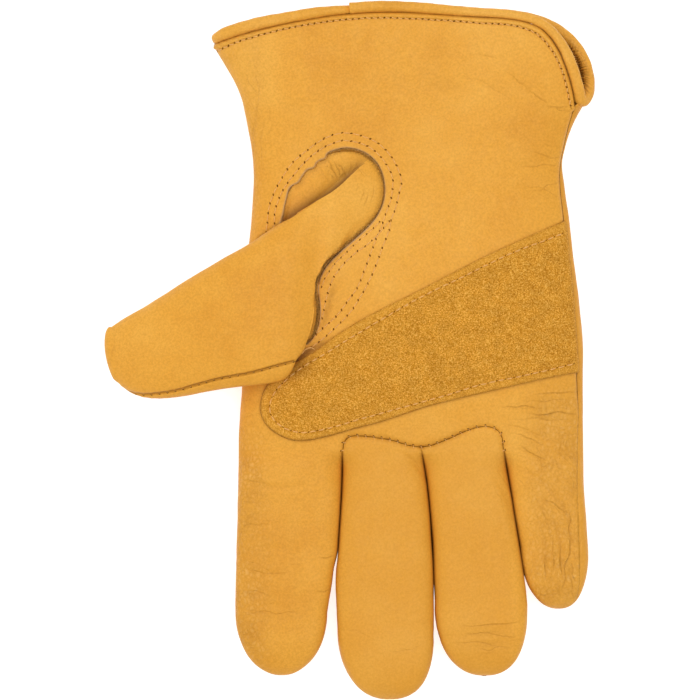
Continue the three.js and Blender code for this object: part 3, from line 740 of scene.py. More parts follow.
def wrinkle_lines(creases, areas, seed):
    """Single creases, and areas filled with short ones, sorted into channels in which they keep
    clear of one another. A single one: two ends, the bow to the left and the strength. An area: its
    middle and reach in X and Y, the direction in degrees and its spread, and the creases' length,
    number and strength."""
    random = np.random.default_rng(seed)
    lines = [(wavy(*row[:5], random), row[5]) for row in creases]
    for x, y, reach_x, reach_y, turn, spread, length, count, strength in areas:
        for _ in range(count):
            out, around = math.sqrt(random.uniform()), random.uniform(0, 2 * math.pi)
            away = reach_x * out * math.cos(around), reach_y * out * math.sin(around)
            middle = np.array([x + away[0], y + away[1]])
            angle = math.radians(turn + random.normal(0, spread))
            half = length / 2 * random.uniform(0.5, 1.3)
            half = half * np.array([math.cos(angle), math.sin(angle)])
            bow = random.normal(0, 0.1 * length)
            line = wavy(*(middle - half), *(middle + half), bow, random)
            lines.append((line, strength * random.uniform(0.4, 1)))
    channels = [[] for _ in range(LINE_CHANNELS)]
    for line, strength in lines:
        for channel in channels:
            apart = [np.linalg.norm(line[:, None] - other, axis=2).min() for other, _ in channel]
            if not apart or min(apart) > 2 * LINE_REACH:
                channel.append((line, strength))
                break
    return channels


def line_attributes(points, channels):
    """For each channel the distance to its nearest line, with a sign, and the strength there. The
    sign is kept well past the reach of a line, where its strength is zero."""
    attributes = {}
    past = 1.7 * LINE_REACH
    for k, channel in enumerate(channels):
        gap = np.full(len(points), past)
        depth = np.zeros(len(points))
        for line, strength in channel:
            near = close_to(points, line, past)
            if not len(near):
                continue
            distance, side, share = nearest(points[near], line)
            closer = distance < np.abs(gap[near])
            near, distance, share = near[closer], distance[closer], share[closer]
            gap[near] = with_side(distance, side[closer])
            fade = smooth((LINE_REACH - distance) / (0.45 * LINE_REACH))
            depth[near] = strength * np.sin(np.pi * share) ** 0.5 * fade
        attributes[f"gap_{k}"] = gap
        attributes[f"depth_{k}"] = depth
    return attributes


def with_side(distance, side):
    """A distance that is negative to the right of its line."""
    return distance * np.where(side < 0, -1, 1)


def row_attributes(points, line, strength=1.0):
    """The same for a row of stitches, which lies in a groove of even depth."""
    distance, side, _ = nearest(points, line)
    depth = strength * smooth((1.4 - distance) / 0.6)
    return {"row_gap": with_side(distance, side), "row_depth": depth}


def soft_relief(points, strength=1.0):
    return strength * (
        0.42 * value_noise(points, 27, 3)
        + 0.2 * value_noise(points, 12, 4)
        + 0.07 * value_noise(points, 5, 5)
    )


# Materials
def linear(red, green, blue):
    """A colour as the eye sees it, from 0 to 255, as the shader takes it."""

    def one(v):
        v = v / 255
        return v / 12.92 if v <= 0.04045 else ((v + 0.055) / 1.055) ** 2.4

    return (one(red), one(green), one(blue), 1.0)


def grey(value):
    return (value, value, value, 1)


BLACK, WHITE = grey(0), grey(1)


class Look:
    """A material with its nodes."""

    def __init__(self, name):
        self.material = bpy.data.materials.new(name)
        self.material.use_nodes = True
        self.tree = self.material.node_tree
        self.shader = next(n for n in self.tree.nodes if n.type == "BSDF_PRINCIPLED")
        self.place = self.tree.nodes.new("ShaderNodeTexCoord").outputs["Object"]

    def add(self, kind, inputs=None, **settings):
        node = self.tree.nodes.new("ShaderNode" + kind)
        for key, value in settings.items():
            setattr(node, key, value)
        self.fill(node, inputs or {})
        return node

    def fill(self, node, inputs):
        for key, value in inputs.items():
            if isinstance(value, bpy.types.NodeSocket):
                self.tree.links.new(value, node.inputs[key])
            else:
                node.inputs[key].default_value = value

    def noise(self, size, detail, roughness=0.55, distortion=0.0):
        """Noise with features of that size in millimetres."""
        inputs = {
            "Vector": self.place,
            "Scale": 1 / (size * MM),
            "Detail": detail,
            "Roughness": roughness,
            "Distortion": distortion,
        }
        return self.add("TexNoise", inputs).outputs[0]

    def cells(self, size):
        inputs = {"Vector": self.place, "Scale": 1 / (size * MM), "Smoothness": 0.4}
        return self.add("TexVoronoi", inputs, feature="SMOOTH_F1").outputs["Distance"]

    def edges(self, size, stretch, width):
        """A net of thin lines between cells of that size in millimetres: 1 on the lines."""
        inputs = {"Vector": self.place, "Scale": 1 / (3 * size * MM), "Detail": 2.0}
        wander = self.add("TexNoise", inputs).outputs["Color"]
        inputs = {0: wander, "Scale": 1.4 * size * MM}
        bent = self.add("VectorMath", inputs, operation="SCALE").outputs[0]
        place = self.add("VectorMath", {0: self.place, 1: bent}, operation="ADD").outputs[0]
        place = self.add("Mapping", {"Vector": place, "Scale": stretch}).outputs[0]
        inputs = {"Vector": place, "Scale": 1 / (size * MM)}
        gap = self.add("TexVoronoi", inputs, feature="DISTANCE_TO_EDGE").outputs["Distance"]
        scaled = self.times(gap, size / width)
        return self.fade(self.times(scaled, scaled))

    def valley(self, gap, depth, width):
        """1 in the middle of a line, from its distance and strength on the mesh."""
        scaled = self.times(self.attribute(gap), 1 / width)
        return self.times(self.fade(self.times(scaled, scaled)), self.attribute(depth))

    def one_sided(self, gap, depth, width, exponent):
        """The same, but only where the distance is positive, with a sharp start."""
        gap = self.attribute(gap)
        scaled = self.times(self.math("MAXIMUM", gap, 0.0), 1 / width)
        shade = self.fade(self.math("POWER", scaled, exponent))
        shade = self.times(shade, self.attribute(depth))
        return self.times(shade, self.math("GREATER_THAN", gap, 0.0))

    def ramp(self, value, *stops):
        node = self.add("ValToRGB", {0: value})
        node.color_ramp.interpolation = "EASE"
        points = node.color_ramp.elements
        for k, (at, colour) in enumerate(stops):
            point = points[k] if k < 2 else points.new(at)
            point.position = at
            point.color = colour
        return node.outputs[0]

    def mix(self, factor, a, b, blend="MIX"):
        node = self.add("MixRGB", {"Fac": factor, "Color1": a, "Color2": b}, blend_type=blend)
        return node.outputs[0]

    def math(self, operation, a, b):
        return self.add("Math", {0: a, 1: b}, operation=operation).outputs[0]

    def times(self, a, b):
        return self.math("MULTIPLY", a, b)

    def fade(self, value):
        """1 where a value is 0, and less the greater it is."""
        return self.math("EXPONENT", self.times(value, -1.0), 0.0)

    def attribute(self, name):
        return self.add("Attribute", attribute_name=name).outputs["Fac"]

    def bump(self, height, distance, normal=None):
        inputs = {"Height": height, "Distance": distance * MM, "Strength": 1.0}
        if normal is not None:
            inputs["Normal"] = normal
        return self.add("Bump", inputs).outputs[0]

    def finish(self, **inputs):
        self.fill(self.shader, {key.replace("_", " "): value for key, value in inputs.items()})
        return self.material


def grain_leather(name, dark, middle, light):
    """The outer side. The mesh's attributes say where it is creased, worn or sewn, and where shade
    is painted.
    """
    look = Look(name)
    colour = look.ramp(look.noise(38, 3, 0.5), (0.3, dark), (0.52, middle), (0.74, light))
    blotches = look.ramp(look.noise(5, 4, 0.6), (0.35, BLACK), (0.7, grey(0.22)))
    colour = look.mix(blotches, colour, light)
    specks = look.noise(0.8, 3, 0.7)
    tone = look.ramp(specks, (0.3, (0.91, 0.885, 0.81, 1)), (0.7, (1.065, 1.08, 1.125, 1)))
    colour = look.mix(1.0, colour, tone, "MULTIPLY")
    colour = look.mix(look.attribute("tone"), colour, linear(212, 143, 40))
    # creases as thin lines, darkened below with painted shade
    creased = look.valley("gap_0", "depth_0", CREASE_WIDTH)
    for k in range(1, LINE_CHANNELS):
        valley = look.valley(f"gap_{k}", f"depth_{k}", CREASE_WIDTH)
        creased = look.math("MAXIMUM", creased, valley)
    rows = look.valley("row_gap", "row_depth", 0.42)
    # a net of finer ones where the leather is worn soft, and pebble tops painted pale, partly as
    # wear and partly as a painted highlight
    grain = look.attribute("grain")
    worn = look.ramp(look.noise(9, 3, 0.55), (0.42, BLACK), (0.66, WHITE))
    net = look.times(look.times(look.edges(2.6, (1.0, 0.62, 1.0), 0.5), worn), grain)
    pebbles = look.edges(1.5, (1.0, 0.7, 1.0), 0.55)
    fine_net = look.edges(1.15, (0.8, 1.0, 1.0), 0.35)
    fine_net = look.times(look.math("MAXIMUM", fine_net, pebbles), grain)
    # pale pebble tops: wear, and a painted highlight where the light catches the grain
    wear_and_highlight = look.ramp(look.noise(12, 4, 0.6), (0.36, grey(0.4)), (0.66, WHITE))
    wear_and_highlight = look.times(look.times(wear_and_highlight, grain), look.math("SUBTRACT", 1.0, pebbles))
    colour = look.mix(wear_and_highlight, colour, linear(242, 182, 90))
    # painted shade in the creases and in the stitch rows' grooves; the two nets are the grain's own
    # darker lines
    for lines, darkening in ((creased, 0.3), (net, 0.13), (fine_net, 0.12), (rows, 0.22)):
        colour = look.mix(look.times(lines, darkening), colour, linear(150, 88, 16))
    # painted shade: darkens hollows, grooves, the gaps between the fingers, the palm beside and
    # under the thumb, and the slit's pleats
    colour = look.mix(look.attribute("painted_shade"), colour, linear(122, 70, 12))
    # brown tufts beside the opening's edge: raw fibres, darkened as painted shade of the recess
    # under the palm's edge
    tufts = look.ramp(look.noise(0.5, 3, 0.75), (0.38, BLACK), (0.56, WHITE))
    colour = look.mix(look.times(tufts, look.attribute("fuzz_and_shade")), colour, linear(150, 100, 32))
    # painted shade of the thumb's fold over its root, starting sharp at the fold line
    folded = look.one_sided("fold_gap", "fold_shade_depth", 2.4, 1.35)
    colour = look.mix(folded, colour, linear(112, 64, 12))
    rim = look.valley("rim_gap", "rim_depth", 0.42)
    colour = look.mix(rim, colour, linear(188, 149, 102))
    surface = look.bump(look.cells(0.8), 0.05)
    reliefs = [
        (look.noise(2.0, 4, 0.65, 0.5), 0.1), (look.noise(9, 3, 0.5), 0.25),
        (net, -0.2), (fine_net, -0.2), (creased, -0.22), (rows, -0.28),
    ]
    for height, distance in reliefs:
        surface = look.bump(height, distance, surface)
    shine = look.ramp(look.noise(3, 4, 0.6), (0.3, grey(0.5)), (0.7, grey(0.62)))
    return look.finish(
        Base_Color=colour, Roughness=shine, Normal=surface, Specular_IOR_Level=0.22,
    )


def flesh_leather(name, dark, light, sheen=0.0):
    """The rough inner side of the leather, and its cut edges."""
    look = Look(name)
    fibres = look.noise(0.7, 4, 0.7)
    colour = look.ramp(fibres, (0.32, dark), (0.68, light))
    patches = look.ramp(look.noise(7, 3, 0.6), (0.4, BLACK), (0.75, grey(0.35)))
    return look.finish(
        Base_Color=look.mix(patches, colour, dark), Roughness=0.95,
        Normal=look.bump(fibres, 0.35), Specular_IOR_Level=0.05,
        Sheen_Weight=sheen, Sheen_Roughness=0.6,
    )


def suede_leather(name):
    look = Look(name)
    nap = look.noise(0.5, 3, 0.75)
    brown, tan, pale = linear(167, 104, 22), linear(206, 142, 42), linear(234, 179, 86)
    colour = look.ramp(nap, (0.36, brown), (0.5, tan), (0.64, pale))
    brushed = look.noise(4.5, 4, 0.7)
    tone = look.ramp(brushed, (0.34, (0.9, 0.885, 0.84, 1)), (0.66, (1.06, 1.05, 1.02, 1)))
    colour = look.mix(1.0, colour, tone, "MULTIPLY")
    colour = look.mix(look.attribute("pressed"), colour, linear(228, 164, 62))
    # painted shade along the patch's edge and under the thumb
    colour = look.mix(look.attribute("painted_shade"), colour, linear(118, 70, 18))
    tufts = look.bump(nap, 0.13, look.bump(look.noise(0.26, 2, 0.7), 0.07))
    return look.finish(
        Base_Color=colour, Roughness=0.92, Normal=tufts, Specular_IOR_Level=0.12,
        Sheen_Weight=0.12, Sheen_Roughness=0.45, Sheen_Tint=linear(255, 206, 140),
    )


def sewing_thread(name):
    look = Look(name)
    strands = look.noise(0.25, 2, 0.6)
    colour = look.ramp(strands, (0.3, linear(222, 158, 80)), (0.7, linear(246, 198, 120)))
    return look.finish(
        Base_Color=colour, Roughness=0.6, Normal=look.bump(strands, 0.08), Specular_IOR_Level=0.2,
    )


# the dark colour of a needle hole is painted shade inside the hole
def needle_hole_shade(name):
    look = Look(name)
    colour = look.ramp(look.noise(0.5, 2), (0.3, linear(92, 52, 10)), (0.7, linear(136, 82, 24)))
    return look.finish(Base_Color=colour, Roughness=0.95, Specular_IOR_Level=0.05)


leather = grain_leather(
    "tan_leather", linear(220, 151, 46), linear(227, 160, 54), linear(233, 170, 67)
)
flesh = flesh_leather("leather_flesh_side", linear(176, 122, 52), linear(222, 170, 96), 0.1)
cut_edge = flesh_leather("leather_cut_edge", linear(168, 130, 84), linear(222, 186, 138))
# cut edges inside the seams, dark as painted shade of the seam
seam_edge_shade = flesh_leather("leather_seam_edge_shade", linear(92, 56, 14), linear(132, 84, 26))
suede = suede_leather("napped_suede")
suede_edge = flesh_leather("suede_cut_edge", linear(112, 70, 20), linear(176, 122, 44))
binding_leather = grain_leather(
    "binding_leather", linear(219, 151, 47), linear(229, 163, 58), linear(236, 174, 74)
)
fibre = flesh_leather("raw_fibres", linear(176, 122, 50), linear(232, 178, 98))
thread_look = sewing_thread("sewing_thread")
hole_look = needle_hole_shade("needle_hole_shade")
PANEL = [leather, flesh, seam_edge_shade]

# Lines that several pieces share
SIDE_SEAM_Y = np.linspace(86, BASE_Y, 60)
SIDE_SEAM_X = along(TRUNK, "right", SIDE_SEAM_Y) - along(TRUNK, "inset", SIDE_SEAM_Y)
SIDE_SEAM = np.stack([SIDE_SEAM_X, SIDE_SEAM_Y], 1)
CUFF_STITCHES = spline(
    [
        (-47.9, 108.4), (-39.1, 111.9), (-22.5, 116.2), (-5.9, 118.9), (5.2, 119.8), (16, 119.9),
        (30, 119.3), (45.5, 118.2), (60, 117.0), (67.4, 114.0), (72.4, 108.6), (75.8, 102.0),
        (77.8, 95.6), (79.4, 88.6),
    ]
)
OUTER_ROW = spline(
    [
        (-30.1, 43.1), (-29.6, 47), (-29.0, 52.4), (-26.5, 58.9), (-24.7, 62.1), (-20.7, 67.9),
        (-15.3, 72.5), (-8.8, 76.9), (-1.6, 78.7), (6.3, 76.9), (12.1, 73.3), (16.7, 67.1),
        (18.2, 62.8), (18.5, 60.3), (17.5, 56.3), (16.4, 51.7), (14.9, 48.1), (13.9, 43.0),
        (12.4, 39.8), (9.9, 32.6), (7.0, 25.7), (3.8, 20.0), (-0.2, 13.9), (-7.4, 6.7),
        (-13.9, 1.6),
    ]
)
INNER_ROW = spline(
    [
        (-27.6, 43.0), (-27.2, 46), (-26.8, 51.3), (-24.3, 57.8), (-20.3, 63.6), (-16.0, 68.4),
        (-10.6, 72.8), (-4.5, 75.6), (-1.6, 76.0), (5.2, 74.5), (10.3, 70.9), (14.2, 65.5),
        (15.3, 62.5), (15.3, 59.6), (14.9, 55.6), (13.2, 50.6), (11.9, 47.0), (10.8, 43.7),
        (9.4, 40.5), (8.1, 37.3), (5.6, 30.4), (3.1, 23.9), (-0.9, 18.2), (-4.9, 12.8),
        (-9.5, 8.8), (-12.1, 6.3),
    ]
)
NEAR_ROW = spline(
    [
        (10.6, 46.6), (8.1, 44.1), (5.6, 41.9), (3.1, 39.8), (-2.0, 35.1), (-4.3, 32.7),
        (-6.9, 29.8), (-9.0, 26.4), (-10.2, 23.4),
    ]
)
FAR_ROW = spline(
    [
        (14.0, 46.9), (12.4, 44.8), (8.1, 40.1), (5.6, 38.0), (2.7, 36.2), (0.2, 34.0),
        (-2.0, 31.9), (-4.1, 29.3), (-5.9, 26.8), (-7.2, 23.6), (-8.3, 20.2), (-9.2, 16),
        (-10.0, 12),
    ]
)
PATCH_STITCHES = spline(
    [
        (76.4, 42.6), (71.5, 40.6), (57.4, 35.2), (39.8, 26.6), (28.6, 21.3), (17.5, 15.3),
        (-0.2, 4.8), (-8.5, -0.3), (-15.7, -4.6), (-22.5, -9.6), (-27.1, -14.6), (-28.8, -19.2),
        (-28.0, -23.4), (-24.3, -26.8), (-18.2, -28.9), (-9.9, -27.9), (0.9, -24.8), (17.5, -20.2),
        (39.8, -13.9), (45.9, -11.9), (66.8, -7.4), (80.5, -4.2),
    ]
)
THUMB_SEAM = spline(
    [
        (-84.6, -10.6), (-82.2, -12.9), (-79.0, -14.4), (-74.0, -15.3), (-68.6, -14.9),
        (-62.5, -13.9), (-54.9, -11.7), (-46.6, -9.5), (-35.5, -7.4), (-27.2, -5.2),
        (-20.4, -3.4),
    ]
)
THUMB_ROWS = [OUTER_ROW, INNER_ROW, NEAR_ROW, FAR_ROW]
PATCH_OUTLINE = np.vstack([PATCH, [[90, -7], [90, 47]]])
# How dark the line along the patch's edge is, along its outline: partly the dark cut edge, partly
# painted shade under the edge
PATCH_EDGE_SHADE = [(0, 0.1), (0.42, 0.14), (0.48, 0.6), (0.62, 0.6), (0.72, 0.36), (1, 0.26)]

# Creases: two ends, the bow to the left, the width and the depth
PALM_CREASES = [
    (-40, -46.5, -14, -48, -1.5, 1.1, 0.35),
    (-41, -74, -20, -71, 1.5, 1.2, 0.3),
    (-41, -78, -24, -79, -1, 1.0, 0.3),
    (-40, -93, -20, -92, 1, 1.1, 0.25),
    (62, -13, 82, -15, 0.6, 0.7, 0.3),
    (60, -21, 82, -19, -0.8, 0.6, 0.25),
    (58, -27, 76, -36, 1.2, 0.7, 0.35),
    (57, -33, 80, -46, 1.5, 0.7, 0.35),
    (60, -41, 78, -58, 2.0, 0.8, 0.35),
    (64, -24, 83, -27, 0.8, 0.6, 0.25),
    (72, -56, 76, -82, 1.6, 0.8, 0.4),
    (76, -52, 79, -80, 2.0, 0.8, 0.45),
    (68, -60, 71, -80, 1.0, 0.8, 0.3),
    (79.5, -56, 81, -76, 1.0, 0.7, 0.35),
    (60, 60, 75, 57, 1.0, 1.4, 0.35),
    (48, 66, 74, 70, -2.0, 1.6, 0.35),
    (30, 96, 62, 84, 4.0, 3.0, 0.35),
    (-34, 84, -10, 88, 2.0, 2.4, 0.3),
]
FRONT_CREASES = [
    (26, -102, 60, -99, -1.5, 1.3, 0.25),
    (34, -105, 58, -104, -1.0, 1.0, 0.2),
    (52, -44, 59, -66, 1.5, 0.9, 0.3),
    (49, -50, 57, -70, 1.0, 0.8, 0.2),
    (-2, -60, 4, -104, 1.0, 1.4, 0.2),
    (18, -36, 27, -46, 1.2, 0.8, 0.25),
    (30, -54, 33, -86, -1.0, 1.2, 0.2),
]
# Fine creases: two ends, the bow to the left and the strength
FINE_CREASES = [
    (68.9, -53.1, 77.9, -58.9, 1.2, 0.9), (78.7, -56, 78.4, -68, 0.4, 0.9),
    (78.9, -64, 76, -86, 1.0, 1.0), (76, -69.7, 76.2, -80, -0.4, 0.9),
    (70.2, -72.9, 70, -82, 0.3, 0.8), (73, -66, 72.8, -80, 0.4, 0.7),
    (79.7, -75, 81.4, -83, -0.5, 0.8), (78.4, -80, 80.6, -86.5, 0.4, 0.8),
    (59.2, -29.3, 69.4, -33.6, 0.5, 0.9), (60.7, -33.2, 70.2, -38.5, -0.4, 0.9),
    (66, -15.2, 82, -14.7, 0.3, 0.8), (54.2, -20, 67.5, -20.5, 0.4, 0.9),
    (63.9, -21.8, 82, -22.3, -0.3, 1.0), (58, -24.2, 81, -24.5, 0.5, 0.5),
    (62, -18, 82, -17.6, 0.3, 0.5), (56, -26, 66, -29, 0.3, 0.5),
    (55.6, 100.8, 64, 94, 0.6, 0.6), (64, 94, 71.5, 88.5, 0.5, 0.7),
    (70.4, 88.4, 78.4, 88.2, -0.3, 0.8), (70.4, 87.6, 78.7, 86.4, 0.4, 0.6),
    (43.4, 106.6, 53, 105.4, 0.5, 0.5), (40, 98, 58, 90, 1.5, 0.4),
    (76.2, 70, 66, 72, 0.8, 0.7), (76, 66.5, 60, 66, -1.0, 0.6), (75.6, 62, 64, 58, 0.8, 0.6),
    (76.6, 55, 62, 60, -1.2, 0.4), (-34.4, 62, -33.2, 90, 1.0, 0.5), (-31, 66, -30.4, 84, 0.6, 0.4),
    (-33, 92, -38, 101, 0.5, 0.5), (-34.2, 80, -32, 98, 0.5, 0.4), (-31.6, 92, -34, 100, 0.4, 0.4),
    (-38, -46.2, -30.4, -47.2, 0.4, 0.6), (-5.5, -73, -10.6, -74, 0.3, 0.8),
    (-38, -78.4, -21.5, -79.2, -0.7, 0.5), (-7, -85.2, -12.4, -86, 0.4, 0.7),
    (-39.4, -95.4, -17.6, -94, 0.9, 0.6), (-39, -54, -31, -55, 0.5, 0.5),
    (-38.8, -63, -29, -62, 0.6, 0.5),
    (-38.4, -86, -28, -88, 0.6, 0.5), (-38.8, -24, -31, -22, 0.5, 0.4),
    (40, -98.4, 61, -97, -0.8, 0.8), (41, -101.4, 60, -102.6, 0.7, 0.7),
    (38, -104.6, 55, -106, 0.5, 0.6),
    (45, -107.4, 58, -106.4, 0.4, 0.5), (52.5, -42, 58.4, -54, 0.8, 0.3),
    (50.4, -46, 55.5, -58, 0.6, 0.3),
    (19, -36.5, 25.6, -42, 0.6, 0.3),
    (-1.5, -100, 8, -103, 0.6, 0.4), (15, -108, 26, -105, -0.6, 0.4),
]
# Areas of short creases, in the order that wrinkle_lines tells
WRINKLED_AREAS = [
    (76, -73, 6, 14, -80, 16, 6, 54, 0.5),
    (71, -24, 12, 8, 2, 12, 8, 34, 0.4),
    (69, -40, 12, 10, -32, 16, 6, 34, 0.38),
    (76, -54, 7, 10, -48, 20, 5, 34, 0.42),
    (66, -78, 6, 10, 80, 20, 5, 12, 0.26),
    (-35, -70, 6, 38, 8, 26, 5, 60, 0.34),
    (-24, -90, 12, 20, 5, 24, 6, 18, 0.26),
    (-33, 78, 5, 24, 82, 12, 8, 20, 0.3),
    (68, 68, 9, 16, 160, 22, 8, 20, 0.3),
    (50, -104, 12, 5, 2, 14, 6, 14, 0.38),
    (14, -62, 14, 34, 60, 60, 5, 20, 0.17),
    (44, -66, 13, 26, 60, 60, 5, 18, 0.17),
    (30, 92, 38, 22, 150, 40, 9, 30, 0.17),
    (-34, -20, 5, 22, 40, 60, 4, 18, 0.26),
    (-10, 100, 30, 10, 170, 30, 8, 14, 0.19),
]
THUMB_CREASES = [
    (-62, 14, -52, 22, 0.6, 0.3), (-8.1, 68.8, -4.6, 62.2, 0.3, 0.9),
    (-6.2, 69.0, -3.2, 62.6, 0.3, 0.8),
    (-4.6, 67.8, -1.6, 63.4, 0.3, 0.9), (-2, 66.2, -4, 62.4, 0.2, 0.7),
    (0.4, 68.2, -0.6, 64, 0.3, 0.7),
    (2.6, 68.0, 1.0, 65.2, 0.2, 0.5), (-11.6, 67.0, -7.6, 60.4, 0.3, 0.35),
    (-16, 64, -13, 58, 0.3, 0.2),
    (5.1, 58.4, 3.9, 54.2, 0.3, 0.6), (6.8, 57.6, 5.0, 52.2, 0.3, 0.55),
    (8.8, 60, 7.4, 53.6, 0.3, 0.5),
    (3.0, 61, 2.2, 57, 0.2, 0.5), (-86, -4, -84.4, 4, 0.4, 0.4), (6.2, 62.4, 3.0, 66.4, 0.3, 0.4),
    (0.6, 64.6, 3.6, 67.2, 0.2, 0.8), (-1.4, 62.6, 1.6, 65.4, 0.2, 0.7),
]
# The pleats beside the fold as hollows: two ends, the bow, the width and the depth
THUMB_PLEATS = [
    (-8.3, 68.8, -4.8, 62.0, 0.3, 0.7, 0.45), (-5.2, 68.4, -2.2, 63.0, 0.3, 0.6, 0.5),
    (-1.8, 67.4, -2.4, 63.2, 0.3, 0.5, 0.45), (1.4, 68.4, 0.2, 64.4, 0.3, 0.5, 0.4),
    (-12.6, 66.4, -8.4, 59.6, 0.3, 0.9, 0.35),
]
THUMB_AREAS = [
    (-40, 12, 30, 16, 95, 24, 5, 40, 0.12),
    (-14, 34, 12, 14, 120, 40, 4, 24, 0.14),
    (-78, 0, 8, 12, 80, 30, 5, 16, 0.2),
]
HAND_LINES = wrinkle_lines(FINE_CREASES, WRINKLED_AREAS, 31)
THUMB_LINES = wrinkle_lines(THUMB_CREASES, THUMB_AREAS, 32)


def seam_valley(points, line, depth=0.8, width=0.9):
    return -depth * bell(nearest(points, line)[0], width)


def puckers(points, line, pitch, height, reach):
    """Little pleats across a seam, as far apart as its stitches."""
    distance, _, share = nearest(points, line)
    turns = share * lengths(line)[-1] / pitch
    return height * np.cos(2 * math.pi * turns) * bell(distance - 0.6, reach)


def hollow_shade(relief):
    """How far a hollow is darkened with painted shade, from its depth."""
    return np.clip(-(relief + 0.25) * 0.35, 0, 0.8)


# The palm, with the fronts of the index and little fingers
TRUNK_ROWS = np.linspace(HAND_TOP, BASE_Y, 190)
COLUMNS = 42  # across one finger
ROW_SPACING = 0.95  # along the fingers
BASE_PITCH = 3.0  # of the stitches at the fingers' base
THUMB_PITCH = 2.9
# How much of its grain the leather shows where it isn't worn
FRONT_GRAIN = 0.12
THUMB_GRAIN = 0.1
BACK_GRAIN = 0.25


def hem_side(points, line):
    """Positive below the hem line."""
    distance, side, _ = nearest(points, line)
    return -side * distance


FAR_AWAY = 99.0
# Where a finger and the one on its right part
GAP_ENDS = {"index": -75.0, "middle": -88.0, "ring": -80.0}


def beside_gap(points):
    """How far a point is from the gap between two fingers, or from where it would go on."""
    closest = np.full(len(points), FAR_AWAY)
    for name, end in GAP_ENDS.items():
        column = along(FINGERS[name], "right", points[:, 1])
        away = np.abs(points[:, 0] - column) + 0.3 * np.maximum(end - points[:, 1], 0)
        closest = np.minimum(closest, away)
    return np.where(points[:, 1] < BASE_Y + 3, closest, FAR_AWAY)


def panel_relief(points, creases):
    relief = soft_relief(points) * smooth(beside_gap(points) / 2.5)
    relief += crease_relief(points, creases)
    for line in BASE_SEAM.values():
        relief += seam_valley(points, line)
        relief += puckers(points, line, BASE_PITCH, 0.12, 1.6)
    deep = smooth((points[:, 1] + 24) / 10)
    relief += seam_valley(points, SIDE_SEAM, 0.7, 0.8) * lerp(0.12, 1.0, deep)
    return relief


def panel_attributes(points, relief, grain):
    # painted shade in the gaps between the fingers and in the hollows
    between = 0.75 * bell(beside_gap(points), 0.4) * smooth((BASE_Y + 1 - points[:, 1]) / 3)
    attributes = {"painted_shade": np.maximum(hollow_shade(relief), between), "grain": grain}
    middle_fingers = smooth((points[:, 0] + 4) / 4) * smooth((60 - points[:, 0]) / 4)
    attributes["tone"] = smooth((-14 - points[:, 1]) / 30) * (0.04 + 0.34 * middle_fingers)
    attributes.update(line_attributes(points, HAND_LINES))
    attributes.update(row_attributes(points, CUFF_STITCHES))
    return attributes


def wear(points):
    """How much the leather shows its grain, and with it the painted highlight on the pebble tops:
    most along the index finger and round the little finger's joints, least on the flat of the palm."""
    x, y = points[:, 0], points[:, 1]
    index = smooth((-26 - x) / 10) * smooth((-20 - y) / 20)
    little = smooth((x - 58) / 14) * smooth((-6 - y) / 14)
    edge = smooth((-28 - x) / 6) * smooth((y - 40) / 12)
    return 0.12 + 1.05 * index + 1.0 * little + 0.45 * edge


# The part of the opening's edge that leans furthest inwards
LOWER_RIGHT_EDGE = np.array([(9, 47.7), (1.2, 39.9), (-8.6, 30.4), (-11.4, 21), (-11.2, 10)])
# How pale the cut edge of the thumb's opening is, along its outline
RIM_PALENESS = [
    (0, 0.5), (0.05, 0.4), (0.1, 0.5), (0.15, 0.8), (0.2, 1), (0.36, 1), (0.45, 0.4),
    (0.78, 0.85), (0.88, 0.9), (0.93, 0.6), (1, 0.5),
]
# The hollow where the thumb's opening ends and the pucker that runs up from it, both painted dark
# with shade; THUMB_CORNER: where the thumb's edge lies over the palm and casts painted shade
PIT = spline([(-20, -3.4), (-17.5, -1.4), (-13.5, 1.2), (-9.0, 3.6)])
THUMB_CORNER = np.array([(-33, 40.8), (-28.6, 43.8), (-24.9, 46.4)])
PUCKER = spline([(-11.6, 6.6), (-8.6, 13), (-7.2, 18.6), (-5.4, 25)])


